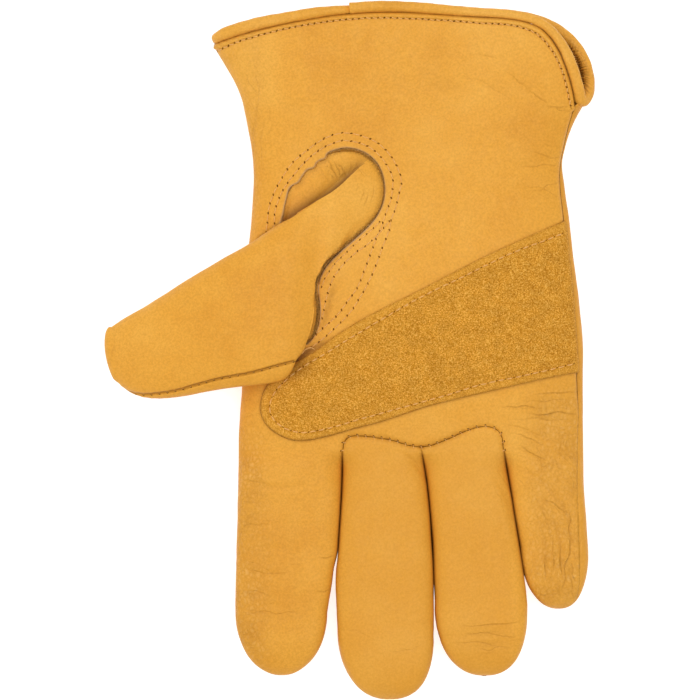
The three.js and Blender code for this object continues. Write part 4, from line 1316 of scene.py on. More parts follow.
def make_palm():
    skin = hand_skin(True, 0, 3, TRUNK_ROWS, ["index", "little"], COLUMNS, ROW_SPACING)
    skin = skin.keep(hem_side(skin.points, FRONT_HEM))
    for name, line in BASE_SEAM.items():
        block = FINGERS[name]
        low = np.array([[block[end][0], BASE_Y - 9] for end in ("right", "left")])
        outline = np.vstack([offset(line, SEAM_GAP / 2), low])
        skin = skin.keep(-signed(skin.points, outline))
    skin = skin.keep(-signed(skin.points, OPENING))
    p = skin.points
    relief = panel_relief(p, PALM_CREASES)
    hem = nearest(p, FRONT_HEM)[0]
    relief += 0.55 * bell(hem - 1.25, 0.75) - 0.5 * bell(hem, 0.45)
    relief += seam_valley(p, CUFF_STITCHES, 0.15, 0.8)
    for line in THUMB_ROWS:
        relief += seam_valley(p, line, 0.1, 0.8)
    around, _, edge_share = nearest(p, OPENING, closed=True)
    relief -= 0.15 * bell(around, 0.5)
    pucker, _, pucker_share = nearest(p, PUCKER)
    pucker = bell(pucker, 0.9) * np.sin(np.pi * np.clip(pucker_share, 0, 1)) ** 0.6
    pit, _, pit_share = nearest(p, PIT)
    pit = bell(pit, 1.3) * np.interp(pit_share, [0, 0.45, 1], [1.0, 0.9, 0.3])
    relief = relief - 0.4 * pucker - 0.5 * pit
    attributes = panel_attributes(p, relief, wear(p))
    # painted shade in the hem's groove, the pit, the pucker and along the thumb's edge
    corner = 0.65 * bell(nearest(p, THUMB_CORNER)[0], 0.6)
    shades = [attributes["painted_shade"], 0.55 * bell(hem, 0.4), pit, 0.3 * pucker, corner]
    attributes["painted_shade"] = np.maximum.reduce(shades)
    attributes["rim_gap"] = around
    paleness = np.interp(edge_share, *np.array(RIM_PALENESS).T)
    attributes["rim_depth"] = paleness * smooth((2 - around) / 0.5)
    # The cut edge leans into the opening, so that it shows from above.
    edges = np.unique(skin.border())
    rim = edges[around[edges] < 0.05]
    lower_right = smooth((nearest(p[rim], LOWER_RIGHT_EDGE)[0] - 2) / -2 + 0.5)
    slant = -unit(p[rim, :2] - OPENING.mean(0)) * (0.5 + 0.2 * lower_right)[:, None]
    looks = PANEL + [cut_edge]
    return wall("palm_leather", skin, relief, looks, attributes, open_edge=(rim, slant))


def make_front(name):
    block = FINGER_NAMES.index(name)
    rows = np.linspace(-14, BASE_Y, 27)
    skin = hand_skin(True, block, block, rows, [name], COLUMNS, ROW_SPACING)
    line = BASE_SEAM[name]
    reach = FINGERS[name]
    low, left, right = -140, reach["left"][0] - 12, reach["right"][0] + 12
    corners = [[right, line[-1, 1]], [right, low], [left, low], [left, line[0, 1]]]
    skin = skin.keep(signed(skin.points, np.vstack([offset(line, -SEAM_GAP / 2), corners])))
    p = skin.points
    relief = panel_relief(p, FRONT_CREASES)
    attributes = panel_attributes(p, relief, np.full(len(p), FRONT_GRAIN))
    return wall(f"{name}_front_leather", skin, relief, PANEL, attributes)


def make_back():
    skin = hand_skin(False, 0, 3, np.linspace(HAND_TOP, BASE_Y, 150), FINGER_NAMES, 34, 1.2)
    skin = skin.keep(hem_side(skin.points, BACK_HEM))
    p = skin.points
    clear = smooth((p[:, 2] - 1.0) / 4)
    relief = panel_relief(p, []) * clear
    attributes = panel_attributes(p, relief, np.full(len(p), BACK_GRAIN))
    attributes["tone"] = np.full(len(p), 0.35)
    return wall("back_leather", skin, relief, PANEL, attributes)


def make_patch():
    rows = np.linspace(52, BASE_Y, 104)
    skin = hand_skin(True, 0, 3, rows, [], COLUMNS, ROW_SPACING)
    skin = skin.keep(signed(skin.points, PATCH_OUTLINE))
    p = skin.points
    below = panel_relief(p, PALM_CREASES) + 0.05
    skin.points = p + skin.outward() * (below + SUEDE)[:, None]
    edge, _, edge_share = nearest(p, PATCH)
    edge_shade = np.interp(edge_share, *np.array(PATCH_EDGE_SHADE).T)
    stitches = nearest(p, PATCH_STITCHES)[0]
    outer = smooth((stitches - 0.5) / 0.7) * smooth((3.6 - edge) / 0.8)
    relief = -0.45 * bell(edge, 0.5) - 0.34 * bell(stitches, 0.6) - 0.12 * outer
    relief += 0.14 * value_noise(p, 7, 11) + 0.07 * value_noise(p, 2.2, 12)
    # painted shade along the edge and under the thumb
    under_thumb = 0.5 * bell(np.hypot(p[:, 0] + 19, (p[:, 1] + 5) * 1.2), 5)
    painted_shade = np.maximum(edge_shade * bell(edge, 0.45), under_thumb)
    attributes = {"painted_shade": painted_shade, "pressed": 0.28 * outer}
    looks = [suede, suede_edge, suede_edge]
    return wall("palm_patch_suede", skin, relief, looks, attributes, thickness=SUEDE)


# The thumb: rings from the border under the palm, through the opening, to the tip
THUMB_KNOTS = [
    (6.4, 71.0), (12.0, 63), (12.1, 54.4), (8.9, 47.7), (2.0, 40.6), (-5.2, 34.2), (-10.4, 27.2),
    (-11, 17.4), (-13.2, 5.2), (-18.4, 4.4), (-21.8, 12.6), (-23.8, 22.4), (-25.0, 33),
    (-25.1, 45.4), (-21.6, 59), (-7.8, 71.5),
]
RING_STEPS = 16  # from one knot to the next
SIDES = len(THUMB_KNOTS) * RING_STEPS
THUMB_STEPS = 14  # from one ring to the next
BORDER_RINGS = 2  # the rings of the border that is sewn under the palm
THUMB_SQUARENESS = 2.3
# How the root is tucked under the fold, and from what share of the way round
TUCK_DIRECTION = np.array([0.5, -0.85, -0.25])
TUCK_START = 0.75
# Share of the way to the first section, lift, and tuck under the fold
THUMB_ROOT = [(0.1, 0.9, 3.0), (0.4, 1.4, 6.6), (0.72, 1.5, 5.6)]
# The fold that the thumb makes over its root, seen from above
THUMB_FOLD = spline(
    [
        (-32.9, 41.2), (-24.9, 46.2), (-22.6, 47.9), (-18.8, 50.1), (-12.4, 54.0), (-9.1, 55.8),
        (-5.9, 57.8), (-2.6, 60.5), (-1.0, 62.1), (2.1, 65.0), (3.8, 66.6),
    ]
)
# How dark the painted shade in the fold is, along it
FOLD_SHADE_DEPTH = [(0, 0.55), (0.2, 0.7), (0.45, 0.86), (0.7, 0.95), (0.86, 0.92), (1, 0.6)]
# Upper edge, crown, lower edge and underside of each section
THUMB_SECTIONS = [
    ((-16.9, 50.6, 24.4), (-11.4, 34.0, 27.4), (-20.2, -6.5, 26.2), (-30, 21.6, 21.2)),
    ((-25.4, 46, 24.6), (-22, 20, 31.8), (-25, -10.4, 26), (-32, 17, 20.4)),
    ((-36, 38.9, 23.6), (-35.1, 13.3, 32), (-34.6, -12.1, 24.2), (-36, 13.3, 18.6)),
    ((-48.6, 31.4, 21.4), (-47.3, 8.8, 29.4), (-46.3, -13.7, 21.4), (-47.3, 8.8, 14.2)),
    ((-60.8, 24.2, 17.6), (-59.2, 4.2, 25.4), (-57.8, -15.5, 17.6), (-59.2, 4.2, 10.4)),
    ((-72, 17.4, 14), (-71.1, 0, 21), (-70.2, -16.6, 14), (-71.1, 0, 7.4)),
    ((-81.4, 12.1, 11.4), (-79.8, -1.6, 17.2), (-78.2, -14.9, 11.4), (-79.8, -1.6, 6)),
    ((-86, 9, 10.2), (-85, -1.2, 14.2), (-83.6, -10.8, 10.2), (-85, -1.2, 6.4)),
]
THUMB_TIP = np.array([-88.1, 0.2, 10.2])


def thumb_ring(upper, crown, lower, under):
    u, c, l, d = (np.array(p, float) for p in (upper, crown, lower, under))
    centre = (u + c + l + d) / 4
    cos, sin = circle(SIDES)
    first = np.where(cos >= 0, u - centre, l - centre)
    second = np.where(sin >= 0, c - centre, d - centre)
    exponent = 2 / THUMB_SQUARENESS
    return centre + first * np.abs(cos) ** exponent + second * np.abs(sin) ** exponent


def opening_ring(inwards, rise):
    edge = spline(THUMB_KNOTS, closed=True, steps=RING_STEPS)
    d = unit(np.roll(edge, -1, axis=0) - np.roll(edge, 1, axis=0))
    edge = edge - inwards * left_of(d)
    return np.column_stack([edge, palm_height(edge[:, 0], edge[:, 1]) + rise])


def root_ring(edge, first, share, lift, tuck):
    way = np.arange(SIDES) / SIDES
    folded = np.where(way > TUCK_START, np.sin((way - TUCK_START) / (1 - TUCK_START) * math.pi), 0)
    ring = lerp(edge, first, share) + TUCK_DIRECTION * (tuck * folded)[:, None]
    ring[:, 2] += lift * (1 - folded)
    return ring


def rest_on_palm(points):
    """Points outside the opening rest on the palm, or on the patch where that is."""
    section = trunk_section(points[:, 1])
    over = (points[:, 0] > section["left"]) & (points[:, 0] < section["right"])
    free = signed(points, OPENING)
    patch = smooth(signed(points, PATCH_OUTLINE) / 5 + 1)
    ground = palm_height(points[:, 0], points[:, 1]) + 0.7 + (SUEDE + 0.2) * patch
    points[:, 2] += np.maximum(ground - points[:, 2], 0) * over * smooth(0.5 - free / 1.5)
    return points


def keep_under_edge(points, row):
    """Near the border of the opening the root stays lower than the palm's cut edge."""
    free = signed(points, OPENING)
    ceiling = palm_height(points[:, 0], points[:, 1]) - 0.3 + 0.85 * np.maximum(free - 0.6, 0)
    lowered = ceiling - 0.2 * np.logaddexp(0, (ceiling - points[:, 2]) / 0.2)
    points[:, 2] = lerp(points[:, 2], lowered, smooth((2.1 - row) / 0.7))
    return points


# The thumb's right and lower edges as seen from above, and how softly they round
THUMB_EDGE = spline(
    [
        (0.5, 40.1), (-4.3, 36.2), (-9.0, 32.2), (-11.1, 28.3), (-12.7, 25.7), (-12.6, 23.2),
        (-13.2, 18.3), (-13, 13.6), (-13.8, 8.5), (-15.4, 4.6), (-17.1, 0.2), (-19.4, -2.8),
        (-20.3, -5.2), (-21.4, -7.4), (-23.9, -9.9), (-29.5, -11.1), (-39.4, -12.1),
        (-52.7, -14.4), (-60.3, -16), (-69, -16.8),
    ]
)
EDGE_ROUND = 0.25


def keep_inside_edge(points, weight):
    """Moves points that lie beyond the thumb's edge back to it."""
    distance, side, share = nearest(points, THUMB_EDGE)
    at = lengths(THUMB_EDGE) / lengths(THUMB_EDGE)[-1]
    outward = on_line(left_of(directions(THUMB_EDGE)), at, share)
    beyond = distance * side
    held = -EDGE_ROUND * np.logaddexp(0, -beyond / EDGE_ROUND)
    weight = weight * smooth(share / 0.06) * smooth((1 - share) / 0.15)
    points[:, :2] += outward * ((held - beyond) * weight)[:, None]
    return points


def thumb_grid():
    """The thumb's rings, and how many steps lie between two of its sections."""
    edge = opening_ring(0.6, -0.4)
    sections = [thumb_ring(*row) for row in THUMB_SECTIONS]
    roots = [root_ring(edge, sections[0], *row) for row in THUMB_ROOT]
    under = -LEATHER - 0.1
    rings = [opening_ring(-5, under), opening_ring(0.1, under), edge, *roots, *sections]
    last = rings[-1]
    centre = last.mean(0)
    caps = [
        centre + (last - centre) * math.cos(a) + (THUMB_TIP - centre) * math.sin(a)
        for a in np.linspace(0, 0.97 * math.pi / 2, 9)[1:]
    ]
    return np.concatenate([spline(rings, steps=THUMB_STEPS), np.array(caps)])


def make_thumb():
    grid = thumb_grid()
    rows = len(grid)
    border = BORDER_RINGS * THUMB_STEPS
    seen = grid[border:].reshape(-1, 3)
    seen_row = np.repeat(np.arange(rows - border), SIDES) / THUMB_STEPS
    seen = keep_inside_edge(seen, smooth((seen_row - 0.15) / 0.75))
    seen = keep_under_edge(rest_on_palm(seen), seen_row)
    points = np.vstack([grid[:border].reshape(-1, 3), seen, THUMB_TIP])
    a, b = round_grid(rows, SIDES)
    faces = [np.stack([a + SIDES, b + SIDES, b], 1), np.stack([a + SIDES, b, a], 1)]
    i = np.arange(SIDES)
    end = (rows - 1) * SIDES
    faces.append(np.stack([np.full(SIDES, len(points) - 1), end + (i + 1) % SIDES, end + i], 1))
    skin = Skin(points, np.zeros((len(points), 2)), np.vstack(faces))
    p = skin.points
    # row: the section, counted from the opening's edge; way: the share of the way round
    row = np.append(np.repeat(np.arange(rows), SIDES), rows) / THUMB_STEPS - BORDER_RINGS
    way = np.append(np.tile(np.arange(SIDES), rows), 0) / SIDES
    top = smooth(skin.normals()[:, 2] * 2 + 0.6)
    relief = soft_relief(p, 0.9)
    relief -= 0.5 * bell(nearest(p, THUMB_SEAM)[0], 0.45) * top
    relief += puckers(p, THUMB_SEAM, THUMB_PITCH, 0.1, 1.4) * top
    fold, fold_side, fold_share = nearest(p, THUMB_FOLD)
    folded = ((way > 0.7) | (way < 0.06)) & (row > 0)
    relief += crease_relief(p, THUMB_PLEATS) * (folded & (fold_side > 0) & (row < 3.9))
    # painted shade in hollows, in the fold's corner, along the thumb's edge and under the opening's
    # rim
    corner = bell(np.hypot(p[:, 0] + 24.4, p[:, 1] - 47.8), 1.1) * (row < 3.9)
    beside = bell(nearest(p, THUMB_EDGE)[0], 0.45) * (row > 0.3) * smooth((2.2 - row) / 0.8)
    inner = signed(p, OPENING)
    low = p[:, 2] < palm_height(p[:, 0], p[:, 1]) + 0.3
    under_rim = bell(np.abs(inner) - 0.7, 0.6) * low
    shades = [hollow_shade(relief), 0.9 * corner, 0.15 * beside, 0.1 * under_rim]
    painted_shade = np.maximum.reduce(shades)
    grain = np.full(len(p), THUMB_GRAIN)
    attributes = {"painted_shade": painted_shade, "grain": grain, "tone": np.zeros(len(p))}
    # the fuzzy strip by the opening: raw fibres and the painted shade of the recess under the
    # palm's edge
    around = nearest(p, OPENING, closed=True)[2]
    furry_shade = np.interp(around, *np.array(FIBRE_LENGTH).T) / 1.4
    furry_shade *= bell(np.maximum(inner - 1.1, 0), 0.7) * smooth((inner - 0.1) / 0.6)
    furry_shade *= (row > -0.2) * smooth((3.4 - row) / 0.6)
    attributes["fuzz_and_shade"] = np.clip(furry_shade, 0, 1) * top
    # the root under the fold gets the fold's painted shade too
    below = (fold_side < 0) & (row > 0.4) & (row < 3 * smooth((0.42 - fold_share) / 0.12))
    attributes["fold_gap"] = np.where(below, 0.05, with_side(fold, fold_side))
    depth = np.interp(fold_share, *np.array(FOLD_SHADE_DEPTH).T)
    attributes["fold_shade_depth"] = depth * (folded & (row < 4.3))
    attributes.update(line_attributes(p, THUMB_LINES))
    attributes.update(row_attributes(p, THUMB_SEAM, 2.2 * top))
    thickness = lerp(0.25, LEATHER, smooth((row - 5) / 1.5))
    looks = [leather, leather, seam_edge_shade]
    return wall("thumb_leather", skin, relief, looks, attributes, thickness=thickness, own=True)


# The rolled binding round the cuff and down into the side slit
BACK_ROUND = 1.85
JOINT_X = -0.7
# Radius of the roll along X, on either side of its joint
LEFT_ROUND = [(-48, 2.0), (-42, 2.25), (-33, 2.25), (-25, 2.05), (-12, 1.95), (1, 1.45)]
RIGHT_ROUND = [
    (-2, 1.95), (8, 2.05), (25, 1.9), (45, 1.7), (60, 1.6), (70, 1.75), (78, 2.05), (83, 2.2),
]
# Places of the roll's middle with its radius, where it turns round the thumb side and the slit
THUMB_SIDE_TURN = [(-47.7, 113.2, 11.6, 1.9), (-48.0, 112.9, 8, 1.85), (-47.5, 113.0, 4.8, 1.8)]
SLIT_TURN = [
    (86.3, 99.0, 5.8, 1.9), (86.4, 97.0, 6.9, 1.95), (86.2, 94.5, 7.9, 2.0), (85.3, 92.0, 9.6, 2.1),
    (83.9, 90.5, 11.4, 2.2), (82.8, 91.2, 12.8, 2.2),
]
THUMB_SIDE_RUN_X = -45.5
BINDING_RINGS = 900
BINDING_GRAIN = 0.3
PUCKER_PITCH = 0.95
SLIT_MIDDLE = np.array([79.5, 101.0])
SLIT_RADIUS = 7.4
FRONT_RUN_Y = 92.8
BACK_RUN_Y = 100.3
ROLL_LIFT = LEATHER / 2


def roll_beside(line, radius, low):
    """The middle of the roll, just outside a hem."""
    middle = line + (radius + 0.06)[:, None] * left_of(directions(line))
    keep = (middle[:, 0] > THUMB_SIDE_RUN_X) & (middle[:, 1] > low)
    return middle[keep], radius[keep]


def back_roll():
    back = resample(BACK_HEM, 90)
    middle, radius = roll_beside(back, np.full(len(back), BACK_ROUND), BACK_RUN_Y)
    section = trunk_section(middle[:, 1])
    z = section_point(section, angle_at(section, middle[:, 0], False))[1]
    return np.column_stack([middle, np.maximum(z + ROLL_LIFT, radius + 0.05), radius])


def binding_route():
    """The middle of the roll and its radius: from the joint round the thumb side, along the back,
    round the slit's bottom and back to the joint, where the later end lies on the earlier one."""
    front = resample(FRONT_HEM, 90)

    def on_palm(table_of_radii):
        x, r = np.array(table_of_radii).T
        middle, radius = roll_beside(front, np.interp(front[:, 0], x, r), FRONT_RUN_Y)
        z = palm_height(middle[:, 0], middle[:, 1]) - ROLL_LIFT
        return np.column_stack([middle, z, radius])

    left, right = on_palm(LEFT_ROUND), on_palm(RIGHT_ROUND)
    left = left[left[:, 0] < JOINT_X + 3.5][::-1]
    left[:, 2] -= 1.1 * smooth((left[:, 0] - JOINT_X + 2) / 3)
    right = right[right[:, 0] > JOINT_X][::-1]
    right[:, 2] += 0.5 * smooth((14 - right[:, 0]) / 14)
    return np.vstack([left, THUMB_SIDE_TURN, back_roll(), SLIT_TURN, right])


def sweep(route, section):
    """A closed tube: section(share, angle) gives the radius at a place of the route."""
    count, sides = len(route), 20
    d = directions(route)
    angle = np.arange(sides) / sides * 2 * math.pi
    cos, sin = circle(sides)
    side = unit(np.cross(d[0], np.array([0, 0, 1.0])))
    rings = []
    for k in range(count):
        side = side - d[k] * (side @ d[k])
        side = side / np.linalg.norm(side)
        radius = section(k / (count - 1), angle)[:, None]
        rings.append(route[k] + side * (cos * radius) + np.cross(side, d[k]) * (sin * radius))
    return closed_tube(np.array(rings), route[:1], route[-1:])


def slit_pleats(x, y):
    """How far round the side slit a place is, in pleats of the gathered binding, as an angle."""
    around = np.arctan2(y - SLIT_MIDDLE[1], x - SLIT_MIDDLE[0])
    turns = around * SLIT_RADIUS / PUCKER_PITCH
    return 2 * math.pi * turns + 1.3 * np.sin(1.7 * turns)


def make_binding():
    route = resample(spline(binding_route(), steps=6), BINDING_RINGS)
    radius = route[:, 3]
    route = route[:, :3]
    total = lengths(route)[-1]
    count = len(route)

    def section(share, angle):
        way = share * total
        near_end = min(way / 0.9, (total - way) / 0.35, 1)
        closing = math.sqrt(max(1 - (1 - near_end) ** 2, 0.02))
        bulge = 1 + 0.02 * math.sin(way * 1.1) + 0.015 * math.sin(way * 0.43 + 1)
        size = radius[int(round(share * (count - 1)))]
        return size * closing * bulge * (1 + 0.03 * np.cos(3 * angle + way * 0.2))

    points, faces = sweep(route, section)
    points = points + 0.08 * value_noise(points, 3.0, 21)[:, None] * np.array([0, 0, 1.0])
    # the loop of the side slit is gathered on its inner side
    x, y, z = points.T
    share = nearest(points, route[:, :2])[2]
    at = lengths(route[:, :2])
    outwards = points[:, :2] - on_line(route[:, :2], at / at[-1], share)
    to_middle = unit(SLIT_MIDDLE - points[:, :2])
    inner = smooth((outwards * to_middle).sum(1) / 1.6 + 0.5)
    loop = smooth((x - 76) / 5) * smooth((14 - z) / 3) * smooth((y - 91.5) / 3)
    # painted shade in the pleats of the gathered loop
    painted_shade = 0.62 * inner * loop * (0.5 - 0.5 * np.cos(slit_pleats(x, y)))
    attributes = {"painted_shade": painted_shade, "grain": np.full(len(points), BINDING_GRAIN)}
    return to_object("cuff_binding_roll", points, faces, [binding_leather], None, attributes)


def make_slit_leaf():
    """The inner leaf of the binding in the side slit: it bends down under the palm's edge and is
    gathered into small pleats."""
    outer = np.vstack([back_roll()[:, :3], np.array(SLIT_TURN)[:4, :3]])
    outer = resample(spline(outer[outer[:, 0] > 66], steps=4), 260)
    inward = -left_of(directions(outer[:, :2]))
    way = lengths(outer)
    columns = 14
    across = np.linspace(0, 1, columns)
    wave = slit_pleats(outer[:, 0], outer[:, 1])
    gathered = smooth((way - 10) / 8) * smooth((way[-1] - way) / 3)
    rows = []
    for share in across:
        ripple = 0.4 * np.cos(wave) * gathered * smooth(share / 0.3)
        place = outer[:, :2] + inward * (0.4 + 4.4 * share)
        z = outer[:, 2] + 1.75 - 4.6 * share**1.4 + ripple
        rows.append(np.column_stack([place, np.maximum(z, 1.4)]))
    points = np.vstack(rows)
    skin = Skin(points, np.zeros((len(points), 2)), grid_faces(columns, len(outer)))
    if skin.normals()[:, 2].mean() < 0:
        skin.faces = skin.faces[:, ::-1]
    share = np.repeat(across, len(outer))
    pleats = np.tile((0.5 - 0.5 * np.cos(wave)) * gathered, columns)
    # painted shade in the pleats and where the leaf goes down under the palm's edge
    painted_shade = 0.5 * pleats * smooth(share / 0.25) + 0.8 * smooth((share - 0.12) / 0.45)
    grain = np.full(len(points), BINDING_GRAIN)
    attributes = {"painted_shade": np.clip(painted_shade, 0, 0.92), "grain": grain}
    looks = [binding_leather] * 3
    none = np.zeros(len(points))
    return wall("slit_binding_leaf", skin, none, looks, attributes, thickness=0.6, own=True)[0]


# Raw fibres along the cut edge of the thumb's opening
FIBRE_LENGTH = [
    (0, 1.1), (0.03, 0.8), (0.06, 0.5), (0.12, 0.5), (0.17, 1.1), (0.3, 1.5), (0.4, 1.3),
    (0.45, 0.5), (0.78, 0.3), (0.88, 0.35), (0.92, 1.0), (1, 1.1),
]


# Stitches
class Ground:
    """The top surface under a stitch row."""

    def __init__(self, *skins):
        points = np.vstack([s.points for s in skins])
        faces, first = [], 0
        for s in skins:
            faces.append(s.faces + first)
            first += len(s.points)
        self.tree = BVHTree.FromPolygons(points.tolist(), np.vstack(faces).tolist())

    def at(self, x, y, top=60.0):
        place, normal, _, _ = self.tree.ray_cast(Vector((x, y, top)), Vector((0, 0, -1)))
        if place is None:
            return None
        if normal.z < 0:
            normal = -normal
        return np.array(place), np.array(normal)


def make_fibres(thumb_ground):
    """Fibres stand out of the cut edge and lie over the thumb's leather."""
    random = np.random.default_rng(17)
    count = 3800
    ring = np.vstack([OPENING, OPENING[:1]])
    at = lengths(ring) / lengths(ring)[-1]
    share = np.sort(random.uniform(0, 1, count))
    base = on_line(ring, at, share)
    d = unit(on_line(ring, at, (share + 0.002) % 1) - base)
    inward = -left_of(d)
    stops, sizes = np.array(FIBRE_LENGTH).T
    size = np.interp(share, stops, sizes) * random.uniform(0.4, 1.15, count)
    turn = random.normal(0.3, 0.55, count)[:, None]
    way = inward * np.cos(turn) + d * np.sin(turn)
    start = base + inward * 0.25
    z = palm_height(base[:, 0], base[:, 1]) - random.uniform(0.05, 0.45, count)
    rise = random.uniform(0.1, 0.45, count)
    thick = random.uniform(0.045, 0.085, count)
    cos, sin = circle(3)
    side = np.column_stack([left_of(way), np.zeros(count)])
    up = np.array([0, 0, 1.0])
    strip = [[0, 1, 4], [0, 4, 3], [1, 2, 5], [1, 5, 4], [2, 0, 3], [2, 3, 5]]
    tip = [[3, 4, 6], [4, 5, 6], [5, 3, 6], [0, 2, 1]]
    points, faces = [], []
    for k in range(count):
        bent = start[k] + way[k] * 0.55 * size[k]
        end = start[k] + (way[k] + 0.15 * d[k]) * size[k]
        heights = [z[k]]
        for place, lift in ((bent, 1.0), (end, 0.5)):
            hit = thumb_ground.at(*place)
            floor_z = z[k] - 0.2 if hit is None else min(hit[0][2], z[k] + 1.4)
            heights.append(max(floor_z + rise[k] * lift, z[k] - 0.1))
        root, middle, end = (np.append(p, h) for p, h in zip((start[k], bent, end), heights))
        ring = side[k] * cos + up * sin
        points.append(np.vstack([root + thick[k] * ring, middle + 0.8 * thick[k] * ring, end]))
        faces.append(k * 7 + np.array(strip + tip))
    return to_object("opening_raw_fibres", np.vstack(points), np.vstack(faces), [fibre])


THREAD_SIDES = 6
BEAD_SIDES = 10


class Sewing:
    """The threads and needle holes of one set of stitch rows, gathered into one piece."""

    def __init__(self, ground):
        self.ground = ground
        self.points, self.faces, self.kinds = [], [], []
        self.count = 0
        self.random = np.random.default_rng(7)

    def take(self, points, faces, kind):
        self.points.append(points)
        self.faces.append(faces + self.count)
        self.kinds.append(np.full(len(faces), kind))
        self.count += len(points)

    def tube(self, route, radius):
        """A thread with round ends."""
        d = directions(route)
        side = unit(np.cross(d, np.array([0, 0, 1.0]) + 0.01))
        up = np.cross(side, d)
        share = np.linspace(0, 1, len(route))
        size = radius * np.clip(np.sqrt(np.maximum(1 - (2 * share - 1) ** 6, 0)), 0.35, 1)
        cos, sin = circle(THREAD_SIDES)
        around = side[:, None] * cos + up[:, None] * sin
        rings = route[:, None] + around * size[:, None, None]
        self.take(*closed_tube(rings, route[:1], route[-1:]), 0)

    def bead(self, place, normal, along_row, length, width):
        """A needle hole: a flat bead let into the leather, long at a slant to the row, dark with
        the painted shade of the hole.
        """
        turn = self.random.uniform(0.5, 1.2)
        across = unit(np.cross(normal, along_row))
        row = np.cross(across, normal)
        a = across * math.cos(turn) + row * math.sin(turn)
        b = np.cross(normal, a)
        cos, sin = circle(BEAD_SIDES)
        rings = []
        for share, height in ((0.6, 0.045), (1.0, 0.0), (0.6, -0.12)):
            ellipse = a * (cos * length / 2 * share) + b * (sin * width / 2 * share)
            rings.append(place + ellipse + normal * height)
        top, bottom = place + normal * 0.05, place - normal * 0.15
        points, faces = closed_tube(np.array(rings), top, bottom)
        self.take(points, faces[:, ::-1], 1)

    def row(self, line, pitch, radius, bead, gap=0.12, lift=0.16, slant=0.0):
        """A row of stitches with a needle hole between two of them."""
        count = max(int(round(lengths(line)[-1] / pitch)), 1)
        places = resample(line, count + 1)
        places = places + self.random.normal(0, 0.05, places.shape)
        sides = offset(places, 1.0) - places
        for k in range(count):
            a, b = places[k], places[k + 1]
            shift = sides[k] * slant
            start, end = lerp(a, b, gap) + shift, lerp(a, b, 1 - gap) - shift
            route = []
            for t in np.linspace(0, 1, 7):
                hit = self.ground.at(*lerp(start, end, t))
                if hit is None:
                    break
                arch = 1 - (2 * t - 1) ** 4
                route.append(hit[0] + hit[1] * (lift * arch - 0.12 * (1 - arch)))
            if len(route) == 7:
                self.tube(np.array(route), radius)
        for k, place in enumerate(places):
            hit = self.ground.at(*place)
            if hit is not None:
                d = places[min(k + 1, count)] - places[max(k - 1, 0)]
                self.bead(*hit, unit(np.append(d, 0.0)), *bead)

    def stray(self, line, radius, lift):
        """A loose thread over the leather."""
        hits = [self.ground.at(*p) for p in resample(spline(line), 14)]
        self.tube(np.array([h[0] + h[1] * lift for h in hits if h is not None]), radius)

    def ticks(self, line, pitch, length, radius, sink=0.1, hole_end=1):
        """Short overcast threads across a seam, with a needle hole, dark with painted shade, at one
        end of each.
        """
        count = int(round(lengths(line)[-1] / pitch))
        places = resample(line, count + 1)
        sides = offset(places, 1.0) - places
        d = directions(places)
        for k, place in enumerate(places):
            across = unit(sides[k] - 0.35 * d[k])
            ends = [place - across * length / 2, place + across * length / 2]
            hits = [self.ground.at(*p) for p in ends]
            if None in hits:
                continue
            a, b = (h[0] for h in hits)
            route = [lerp(a, b, t) for t in np.linspace(0, 1, 6)]
            for t, p in zip(np.linspace(0, 1, 6), route):
                hit = self.ground.at(p[0], p[1])
                drop = 0.55 if hit is None else (p[2] - hit[0][2]) * 0.55
                p[2] -= drop - 0.1 + sink * (2 * t - 1) ** 2
            self.tube(np.array(route), radius)
            self.bead(*hits[hole_end], np.append(across, 0.0), 0.85, 0.55)

    def piece(self, name):
        kinds = np.concatenate(self.kinds)
        looks = [thread_look, hole_look]
        obj = to_object(name, np.vstack(self.points), np.vstack(self.faces), looks, kinds)
        return finish_piece(obj, "thread")


palm, palm_skin = make_palm()
finish_piece(palm, "leather", "palm")
fronts = []
for finger in ("middle", "ring"):
    front, front_skin = make_front(finger)
    finish_piece(front, "leather", f"{finger}_finger_front")
    fronts.append(front_skin)
back, _ = make_back()
finish_piece(back, "leather", "back")
patch, patch_skin = make_patch()
finish_piece(patch, "suede", "palm_patch")
thumb, thumb_skin = make_thumb()
finish_piece(thumb, "leather", "thumb")
finish_piece(make_binding(), "binding", "cuff_binding")
finish_piece(make_slit_leaf(), "binding")
finish_piece(make_fibres(Ground(thumb_skin)), "leather")

on_palm = Ground(palm_skin)
cuff_sewing = Sewing(on_palm)
cuff_sewing.row(CUFF_STITCHES, 2.3, 0.2, (0.95, 0.6), 0.16, slant=0.28)
cuff_sewing.piece("cuff_stitches")
thumb_sewing = Sewing(on_palm)
for line, pitch, radius, bead, lift in (
    (OUTER_ROW, 3.45, 0.17, (1.05, 0.6), 0.14), (INNER_ROW, 3.2, 0.17, (1.05, 0.6), 0.14),
    (NEAR_ROW, 3.2, 0.16, (0.9, 0.5), 0.13), (FAR_ROW, 3.2, 0.18, (0.9, 0.52), 0.15),
):
    thumb_sewing.row(line, pitch, radius, bead, lift=lift)
LOOSE_LOOP = [(-17.2, -0.6), (-16.4, 0.7), (-15.2, 1.4), (-13.8, 1.6), (-12.5, 0.8)]
thumb_sewing.stray(LOOSE_LOOP, 0.22, 0.5)
thumb_sewing.piece("thumb_opening_stitches")
patch_sewing = Sewing(Ground(patch_skin))
patch_sewing.row(PATCH_STITCHES, 3.2, 0.22, (0.62, 0.5), 0.17, lift=0.2)
patch_sewing.piece("patch_stitches")
base_sewing = Sewing(Ground(palm_skin, *fronts))
for line in BASE_SEAM.values():
    base_sewing.ticks(line, BASE_PITCH, 1.3, 0.12)
base_sewing.piece("finger_base_stitches")
seam_sewing = Sewing(Ground(thumb_skin))
seam_sewing.ticks(THUMB_SEAM, THUMB_PITCH, 0.36, 0.08, sink=0.24, hole_end=0)
seam_sewing.piece("thumb_seam_stitches")


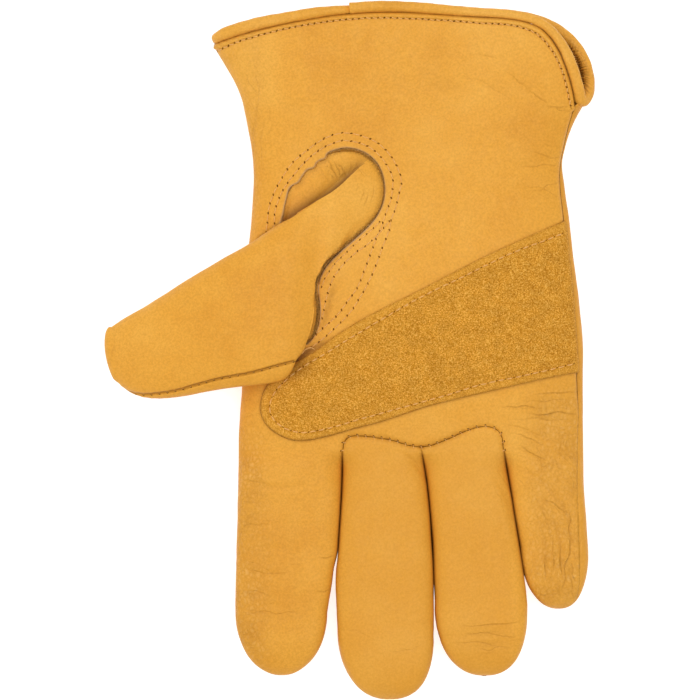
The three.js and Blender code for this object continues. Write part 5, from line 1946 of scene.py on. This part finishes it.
# Floor, light and camera
def area_light(name, place, size, power_watts):
    """A square light that points at the glove."""
    data = bpy.data.lights.new(name, "AREA")
    data.shape = "SQUARE"
    data.size = size
    data.energy = power_watts
    lamp = bpy.data.objects.new(name, data)
    lamp.location = place
    lamp.rotation_euler = (-Vector(place)).to_track_quat("-Z", "Y").to_euler()
    bpy.context.scene.collection.objects.link(lamp)


floor_look = Look("floor_paper")
floor_tone = floor_look.ramp(
    floor_look.noise(400, 2), (0.3, linear(204, 204, 205)), (0.7, linear(208, 208, 209))
)
floor_material = floor_look.finish(
    Base_Color=floor_tone, Roughness=0.9, Specular_IOR_Level=0.1,
    Emission_Color=(1.0, 1.0, 1.0, 1.0), Emission_Strength=0.7,
)
FLOOR_SIZE = 6
FLOOR_LEVEL = -0.0002  # just under the glove
bpy.ops.mesh.primitive_plane_add(size=FLOOR_SIZE, location=(0, 0, FLOOR_LEVEL))
floor = bpy.context.object
floor.name = "floor"
floor.data.materials.append(floor_material)

area_light("key_light", (-0.15, 0.7, 1.8), 1.4, 15.1)
area_light("side_light", (-1.2, -0.25, 0.7), 0.9, 2.2)
area_light("fill_light", (0.4, -0.35, 1.9), 1.5, 12)
world = bpy.data.worlds.new("studio")
bpy.context.scene.world = world
world.use_nodes = True
background = world.node_tree.nodes["Background"]
background.inputs["Color"].default_value = (1.0, 1.0, 1.0, 1.0)
background.inputs["Strength"].default_value = 0.45

VIEW_WIDTH = 0.252  # what the picture shows at the height of the glove's middle
MIDDLE_HEIGHT = 0.012
CAMERA_HEIGHT = 2.5
SENSOR = 36.0
camera_data = bpy.data.cameras.new("camera")
camera_data.sensor_width = SENSOR
camera_data.lens = SENSOR * (CAMERA_HEIGHT - MIDDLE_HEIGHT) / VIEW_WIDTH
camera_data.clip_end = 20
camera = bpy.data.objects.new("camera", camera_data)
camera.location = (0.00018, 0.00055, CAMERA_HEIGHT)
camera.rotation_euler = (0, 0, 0)
bpy.context.scene.collection.objects.link(camera)
bpy.context.scene.camera = camera
bpy.context.scene.view_settings.view_transform = "Standard"
